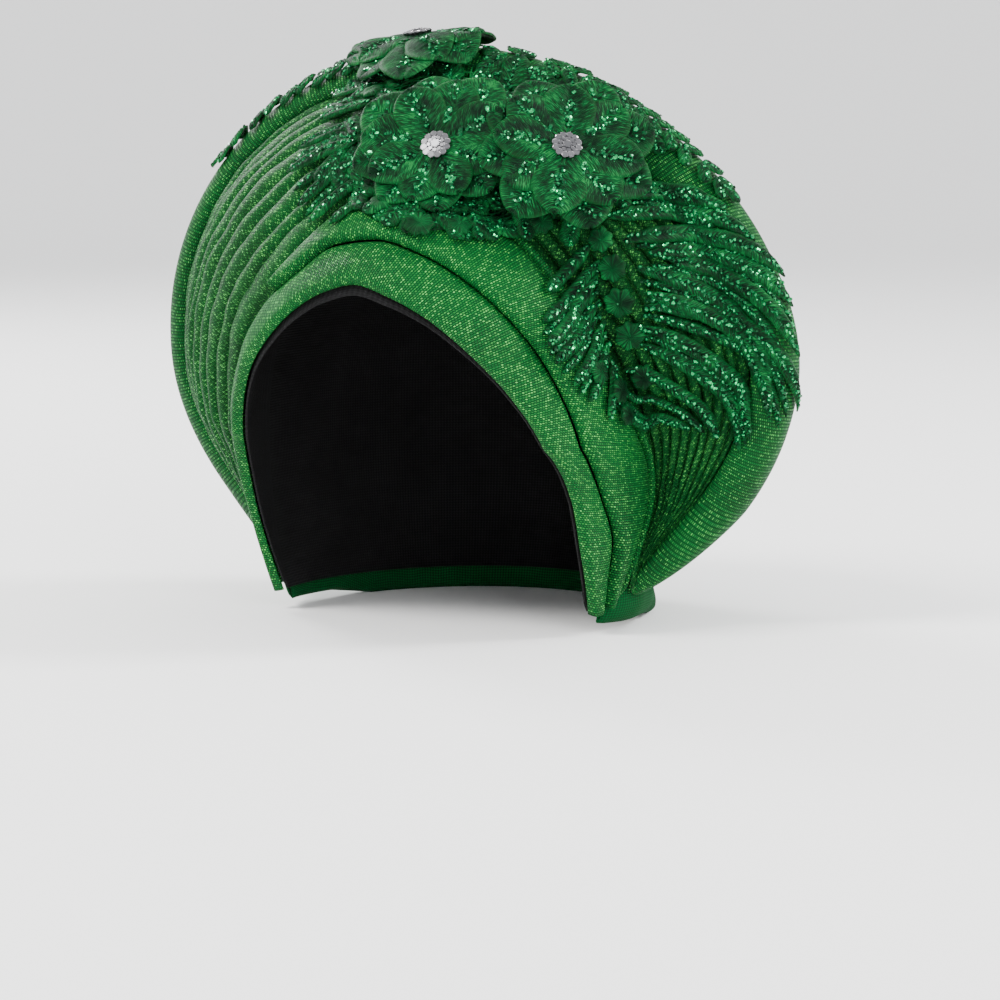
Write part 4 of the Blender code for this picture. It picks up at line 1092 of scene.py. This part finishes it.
def leaf_spray(node):
    """Spray of leaves and florets, with a slimmer leaf under each two neighbours that lie alike."""
    chance = random.Random(node)
    form = bmesh.new()
    table = LEAVES[node]
    under = [tuple(mix(low, high, 0.5) for low, high in zip(first, second))
             for first, second in zip(table, table[1:])
             if abs(first[2] - second[2]) < 13 and abs(first[3] - second[3]) < 0.5]
    rows = [(*row, 1.0, 0.0008 + 0.0008 * (index % 2)) for index, row in enumerate(table)]
    rows += [(*row, 0.72, 0.0) for row in under]
    for root_ring, root_share, tip_ring, tip_share, width, bow, broad, lift in rows:
        root, tip = (root_ring, root_share), (tip_ring, tip_share)
        add_leaf(form, node, root, tip, width * broad, bow, LACE_LIFT + lift, chance)
    for home, ring, share, width in FLORETS:
        if home == node:
            add_floret(form, node, ring, share, width, LACE_LIFT + 0.0016, chance)
    thickened(finished(node + "_leaves", form, SATIN_THREAD), LEAF_WALL, node)


# Field of small leaves behind the flowers: ring angle, then its lowest and highest share
FIELD = ((44, 0.40, 0.95), (50, 0.05, 1.25), (58, -0.20, 1.42), (70, -0.55, 1.44), (84, -0.50, 1.44),
         (96, -0.42, 1.40), (106, -0.25, 1.20), (114, 0.0, 1.0))
FIELD_START, FIELD_COLUMNS, FIELD_RING_STEP, FIELD_SHARE_STEP = 46.0, 16, 4.3, 0.19


def lace_field():
    """Small overlapping leaves that fill the lace between and behind the flowers."""
    chance = random.Random(7)
    form = bmesh.new()
    for column in range(FIELD_COLUMNS):
        ring = FIELD_START + column * FIELD_RING_STEP
        low, high = read_table(FIELD, ring)
        count = max(2, round((high - low) / FIELD_SHARE_STEP))
        for row in range(count):
            share = mix(low, high, (row + 0.5 * (column % 2) + 0.25) / count)
            place = ring + chance.uniform(-1.2, 1.2), share + chance.uniform(-0.04, 0.04)
            heading = chance.uniform(0, 2 * math.pi)
            reach = chance.uniform(0.011, 0.015)
            tip = walk(*place, reach * math.cos(heading), reach * math.sin(heading))
            lift = LACE_LIFT + 0.0002 + 0.0012 * chance.random()
            add_leaf(form, "lace_ground", place, tip, chance.uniform(0.0070, 0.0090), 0.0, lift, chance)
    thickened(finished("lace_field_leaves", form, SATIN_THREAD), LEAF_WALL, "lace_ground")


def rim_frond(node):
    """Frond of small overlapping leaves along the rim's outermost line."""
    chance = random.Random(node)
    rows, length, width, pairs = FRONDS[node]
    table = [(index / (len(rows) - 1), *row) for index, row in enumerate(rows)]
    form = bmesh.new()
    for index in range(pairs + 1):
        part = index / pairs
        ring, share = read_table(table, part)
        ahead = read_table(table, min(part + 0.05, 1.0))
        behind = read_table(table, max(part - 0.05, 0.0))
        _, along, across, _ = dress_frame(ring, share)
        way = dress_surface(*ahead) - dress_surface(*behind)
        heading = math.atan2(way.dot(across), way.dot(along))
        reach = length * mix(1.0, 0.8, part)
        leans = (0.0,) if index == pairs else (34.0, -34.0)
        for lean in leans:
            turn = heading + math.radians(lean + chance.uniform(-6, 6))
            tip = walk(ring, share, reach * math.cos(turn), reach * math.sin(turn))
            lift = LACE_LIFT + 0.0010 + 0.0006 * (index % 2)
            add_leaf(form, node, (ring, share), tip, width, 0.0, lift, chance, pad=0.0011)
    thickened(finished(node + "_leaves", form, SATIN_THREAD), LEAF_WALL, node)


# Step of the net of places under a flower, worked out once each
SURFACE_STEP = 0.006


def flower(name):
    """Flower of two layers of broad overlapping petals, with sequins along each petal's middle."""
    chance = random.Random(name)
    ring, share, lift, drape, petals = FLOWERS[name]
    centre, along, across, out = dress_frame(ring, share)
    net = {}

    def on_surface(way, rise):
        column, row = way / SURFACE_STEP, rise / SURFACE_STEP
        left, low = math.floor(column), math.floor(row)
        for place in ((left, low), (left + 1, low), (left, low + 1), (left + 1, low + 1)):
            if place not in net:
                along_way, rim_way = place[0] * SURFACE_STEP, place[1] * SURFACE_STEP
                net[place] = dress_surface(*walk(ring, share, along_way, rim_way))
        bottom = net[left, low].lerp(net[left + 1, low], column - left)
        return bottom.lerp(net[left, low + 1].lerp(net[left + 1, low + 1], column - left), row - low)

    def laid(heading, length, forward, aside, height):
        turn = math.radians(heading)
        way = forward * math.cos(turn) - aside * math.sin(turn)
        rise = forward * math.sin(turn) + aside * math.cos(turn)
        flat = centre + along * way + across * rise
        part = min(math.hypot(way, rise) / (FLOWER_REACH * length), 1.0)
        curl = 0.0020 * part ** 3
        return flat.lerp(on_surface(way, rise), drape * part) + out * (LACE_LIFT + lift + curl + height)

    form = bmesh.new()
    layers = [(heading + 22.0, size * 1.10, -0.0012) for heading, size in petals]
    layers += [(heading, size * 0.93, 0.0014 * (index % 2)) for index, (heading, size) in enumerate(petals)]
    for heading, size, over in layers:
        length = FLOWER_REACH * size
        tip_lift = chance.uniform(-0.0004, 0.0012)
        turn = heading + chance.uniform(-3, 3)

        def put(part, aside, height):
            edge_curl = 0.0012 * (abs(aside) / 0.009) ** 2 * part
            rise = height + over * part + tip_lift * part ** 2 + edge_curl
            return laid(turn, size, part * length, aside, rise)

        stitched(form, length, 0.0118 * size, petal_shape, 0.0016, 20, put)
        for _ in range(30):
            part = chance.uniform(0.32, 0.90)
            spot = put(part, chance.gauss(0, 1) * 0.0026 * part, 0.0019)
            sprinkle(name, spot, out, along, chance.uniform(0.0006, 0.0012), chance)
    thickened(finished(name + "_petals", form, SATIN_THREAD), PETAL_WALL, name)
    flower_heart(name)


def flower_heart(name):
    """Round middle of a flower, of threads that run out from its button."""
    ring, share, lift, _, _ = FLOWERS[name]
    frame = dress_frame(ring, share)
    form = bmesh.new()
    bmesh.ops.create_uvsphere(form, u_segments=60, v_segments=10, radius=1)
    chart, edge = thread_layers(form)
    angles = {}
    for vert in form.verts:
        angle, reach = math.atan2(vert.co.y, vert.co.x), math.hypot(vert.co.x, vert.co.y)
        angles[vert] = angle
        vert[edge] = 0.0
        side = 0.0098 * reach * (1 + 0.06 * noise.noise(Vector((angle * 6, 0, 3))))
        rise = 0.0012 * vert.co.z + 0.00008 * math.sin(angle * 30) * reach
        vert.co = polar_place(frame, angle, side, LACE_LIFT + lift + 0.0010 + rise)
    wrap_chart(form.faces, chart, angles, 0.006, math.pi)
    finished(name + "_heart", form, SATIN_THREAD)


def sequins():
    """Small cupped sequins, one piece for each lace part."""
    for group, spots in SEQUINS.items():
        form = bmesh.new()
        for place, out, along, radius, turn, tilt in spots:
            side = along.cross(out).normalized()
            basis = Matrix((side.cross(out).normalized(), side, out)).transposed().to_4x4()
            spin = Matrix.Rotation(turn, 4, "Z") @ Matrix.Rotation(tilt, 4, "X")
            bmesh.ops.create_cone(form, cap_ends=True, segments=6, radius1=radius, radius2=radius * 0.45,
                                  depth=radius * 0.5, matrix=Matrix.Translation(place) @ basis @ spin)
        finished("sequins_" + group, form, SEQUIN, smooth=False)


def brilliant(form, place, width):
    """Cut stone with eight sides, a raised crown and a flat table."""
    girdle = bmesh.ops.create_cone(
        form, cap_ends=True, segments=8, radius1=width * 0.46, radius2=width * 0.5, depth=width * 0.16,
        matrix=place @ Matrix.Translation((0, 0, width * 0.08)))
    to_stone = place.inverted()
    top = max((face for vert in girdle["verts"] for face in vert.link_faces),
              key=lambda face: (to_stone @ face.calc_center_median()).z)
    bmesh.ops.inset_individual(form, faces=[top], thickness=width * 0.20, depth=width * 0.17)


# Rings of a button's stones: count, distance from the middle, width, height, first angle, lean and claws
BUTTON_RINGS = (
    (12, 0.0046, 0.0025, 0.0009, 0.0, 0.22, 3),
    (9, 0.0027, 0.0015, 0.0013, 0.3, 0.05, 3),
    (1, 0.0, 0.0034, 0.0014, 0.0, 0.05, 6),
)


def button(flower_name):
    """Round button: stones in a scalloped ring, a smaller ring and a middle stone, in a silver setting."""
    ring, share, lift, _, _ = FLOWERS[flower_name]
    centre, along, across, out = dress_frame(ring, share)
    seat = centre + out * (LACE_LIFT + lift + FLOWER_WALL + 0.0009)
    place = Matrix.Translation(seat) @ Matrix((along, across, out)).transposed().to_4x4()
    metal, stones = bmesh.new(), bmesh.new()
    bmesh.ops.create_cone(metal, cap_ends=True, segments=48, radius1=0.0049, radius2=0.0051, depth=0.0010,
                          matrix=place @ Matrix.Translation((0, 0, 0.0005)))
    for count, reach, width, height, turn, lean, claws in BUTTON_RINGS:
        for index in range(count):
            angle = 2 * math.pi * index / count + turn
            spot = Matrix.Translation((reach * math.cos(angle), reach * math.sin(angle), height))
            stone = place @ spot @ Matrix.Rotation(angle, 4, "Z") @ Matrix.Rotation(lean, 4, "Y")
            brilliant(stones, stone, width * 0.94)
            bmesh.ops.create_cone(
                metal, cap_ends=True, segments=14, radius1=width * 0.40, radius2=width * 0.54,
                depth=width * 0.5, matrix=stone @ Matrix.Translation((0, 0, -width * 0.12)))
            for claw in range(claws):
                way = angle + 2 * math.pi * (claw + 0.5) / claws
                tip = Vector((0.52 * math.cos(way), 0.52 * math.sin(way), 0.14)) * width
                bmesh.ops.create_icosphere(metal, subdivisions=1, radius=width * 0.09,
                                           matrix=stone @ Matrix.Translation(tip))
    setting = finished(flower_name + "_button_setting", metal, SILVER, smooth=False)
    gems = finished(flower_name + "_button_stones", stones, CRYSTAL_PAINTED_REFLECTIONS, smooth=False)
    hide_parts(flower_name.replace("flower", "rhinestone_button"))


# Net behind the flowers: ring angle, then its lowest and highest share; and its cords each way
NET_SPAN = (
    (46, 0.30, 0.90), (54, 0.00, 1.02), (62, -0.45, 1.06), (72, -0.75, 1.08), (84, -0.55, 1.10),
    (94, -0.42, 1.05), (104, 0.15, 0.80),
)
NET_COLUMNS, NET_ROWS = 34, 22
CORD = 0.0006


def lace_net():
    """Net of fine cords behind the flowers, the same each run by its waver's seed."""
    noise.seed_set(7)
    form = bmesh.new()
    bmesh.ops.create_grid(form, x_segments=NET_COLUMNS, y_segments=NET_ROWS, size=1)
    for vert in form.verts:
        ring = mix(NET_SPAN[0][0], NET_SPAN[-1][0], (vert.co.x + 1) / 2)
        low, high = read_table(NET_SPAN, ring)
        share = mix(low, high, (vert.co.y + 1) / 2)
        shift = noise.noise_vector(Vector((ring / 3, share * 9, 0))) * 0.0007
        vert.co = dress_surface(ring, share) + dress_frame(ring, share)[3] * (LACE_LIFT + 0.0012) + shift
    bmesh.ops.recalc_face_normals(form, faces=form.faces)
    bmesh.ops.wireframe(form, faces=form.faces, thickness=CORD, offset=0.0, use_replace=True,
                        use_boundary=True, use_even_offset=True)
    thread_layers(form)
    piece = finished("lace_net", form, SATIN_THREAD)
    return piece


# The head tie's pieces
BROW = brow_band()
CROSS = cross_band()
TUCK = tuck_fold()
FAN = pleated_fan()
RIM = rim_wrap()
NAPE = nape_roll()
LINING = lining()
for spray_name in ("spray_right_main", "spray_right_middle", "spray_right_lower", "spray_left_inner"):
    leaf_spray(spray_name)
for frond_name in FRONDS:
    rim_frond(frond_name)
for flower_name in FLOWERS:
    flower(flower_name)
    button(flower_name)
leaf_spray("lace_ground")
lace_field()
NET = lace_net()
sequins()

# Floor, flat round the head tie and swept up far from it, light and camera
FLOOR_FLAT = 2.6
FLOOR_SWEEP = 0.35
floor = bmesh.new()
bmesh.ops.create_grid(floor, x_segments=60, y_segments=60, size=7.0)
for corner in floor.verts:
    past_flat = max(math.hypot(corner.co.x, corner.co.y) - FLOOR_FLAT, 0.0)
    corner.co.z = SOLID_BOX[0][2] + FLOOR_SWEEP * past_flat ** 2
floor_piece = finished("floor", floor, FLOOR_PAPER)


def lamp(name, place, size, power, colour=(1, 1, 1)):
    """Soft square light that faces the head tie."""
    data = bpy.data.lights.new(name, "AREA")
    data.size = size
    data.energy = power
    data.color = colour
    light = bpy.data.objects.new(name, data)
    light.location = place
    light.rotation_euler = (Vector((0, 0, 0.03)) - Vector(place)).to_track_quat("-Z", "Y").to_euler()
    bpy.context.scene.collection.objects.link(light)


lamp("key light", (-0.7, -1.3, 1.7), 0.7, 58, (1.0, 0.99, 0.96))
lamp("fill light", (1.5, -1.2, 0.8), 1.0, 20)
lamp("left rim light", (-1.4, 0.7, 0.9), 0.5, 26)
lamp("right rim light", (1.3, 0.8, 1.1), 0.5, 40)
world = bpy.data.worlds.new("studio")
world.use_nodes = True
world.node_tree.nodes["Background"].inputs["Color"].default_value = (0.95, 0.96, 0.97, 1)
world.node_tree.nodes["Background"].inputs["Strength"].default_value = 1.5
bpy.context.scene.world = world

VIEW_TURN, VIEW_RISE, VIEW_DISTANCE = math.radians(28), math.radians(6), 1.5
lens = bpy.data.cameras.new("camera")
lens.sensor_width = 36
lens.lens = 135
lens.shift_x = 0.048
lens.shift_y = -0.070
lens.clip_start = 0.05
camera = bpy.data.objects.new("camera", lens)
ground_distance = VIEW_DISTANCE * math.cos(VIEW_RISE)
camera.location = (ground_distance * math.sin(VIEW_TURN), -ground_distance * math.cos(VIEW_TURN),
                   VIEW_DISTANCE * math.sin(VIEW_RISE))
camera.rotation_euler = (-camera.location).to_track_quat("-Z", "Y").to_euler()
bpy.context.scene.collection.objects.link(camera)
bpy.context.scene.camera = camera
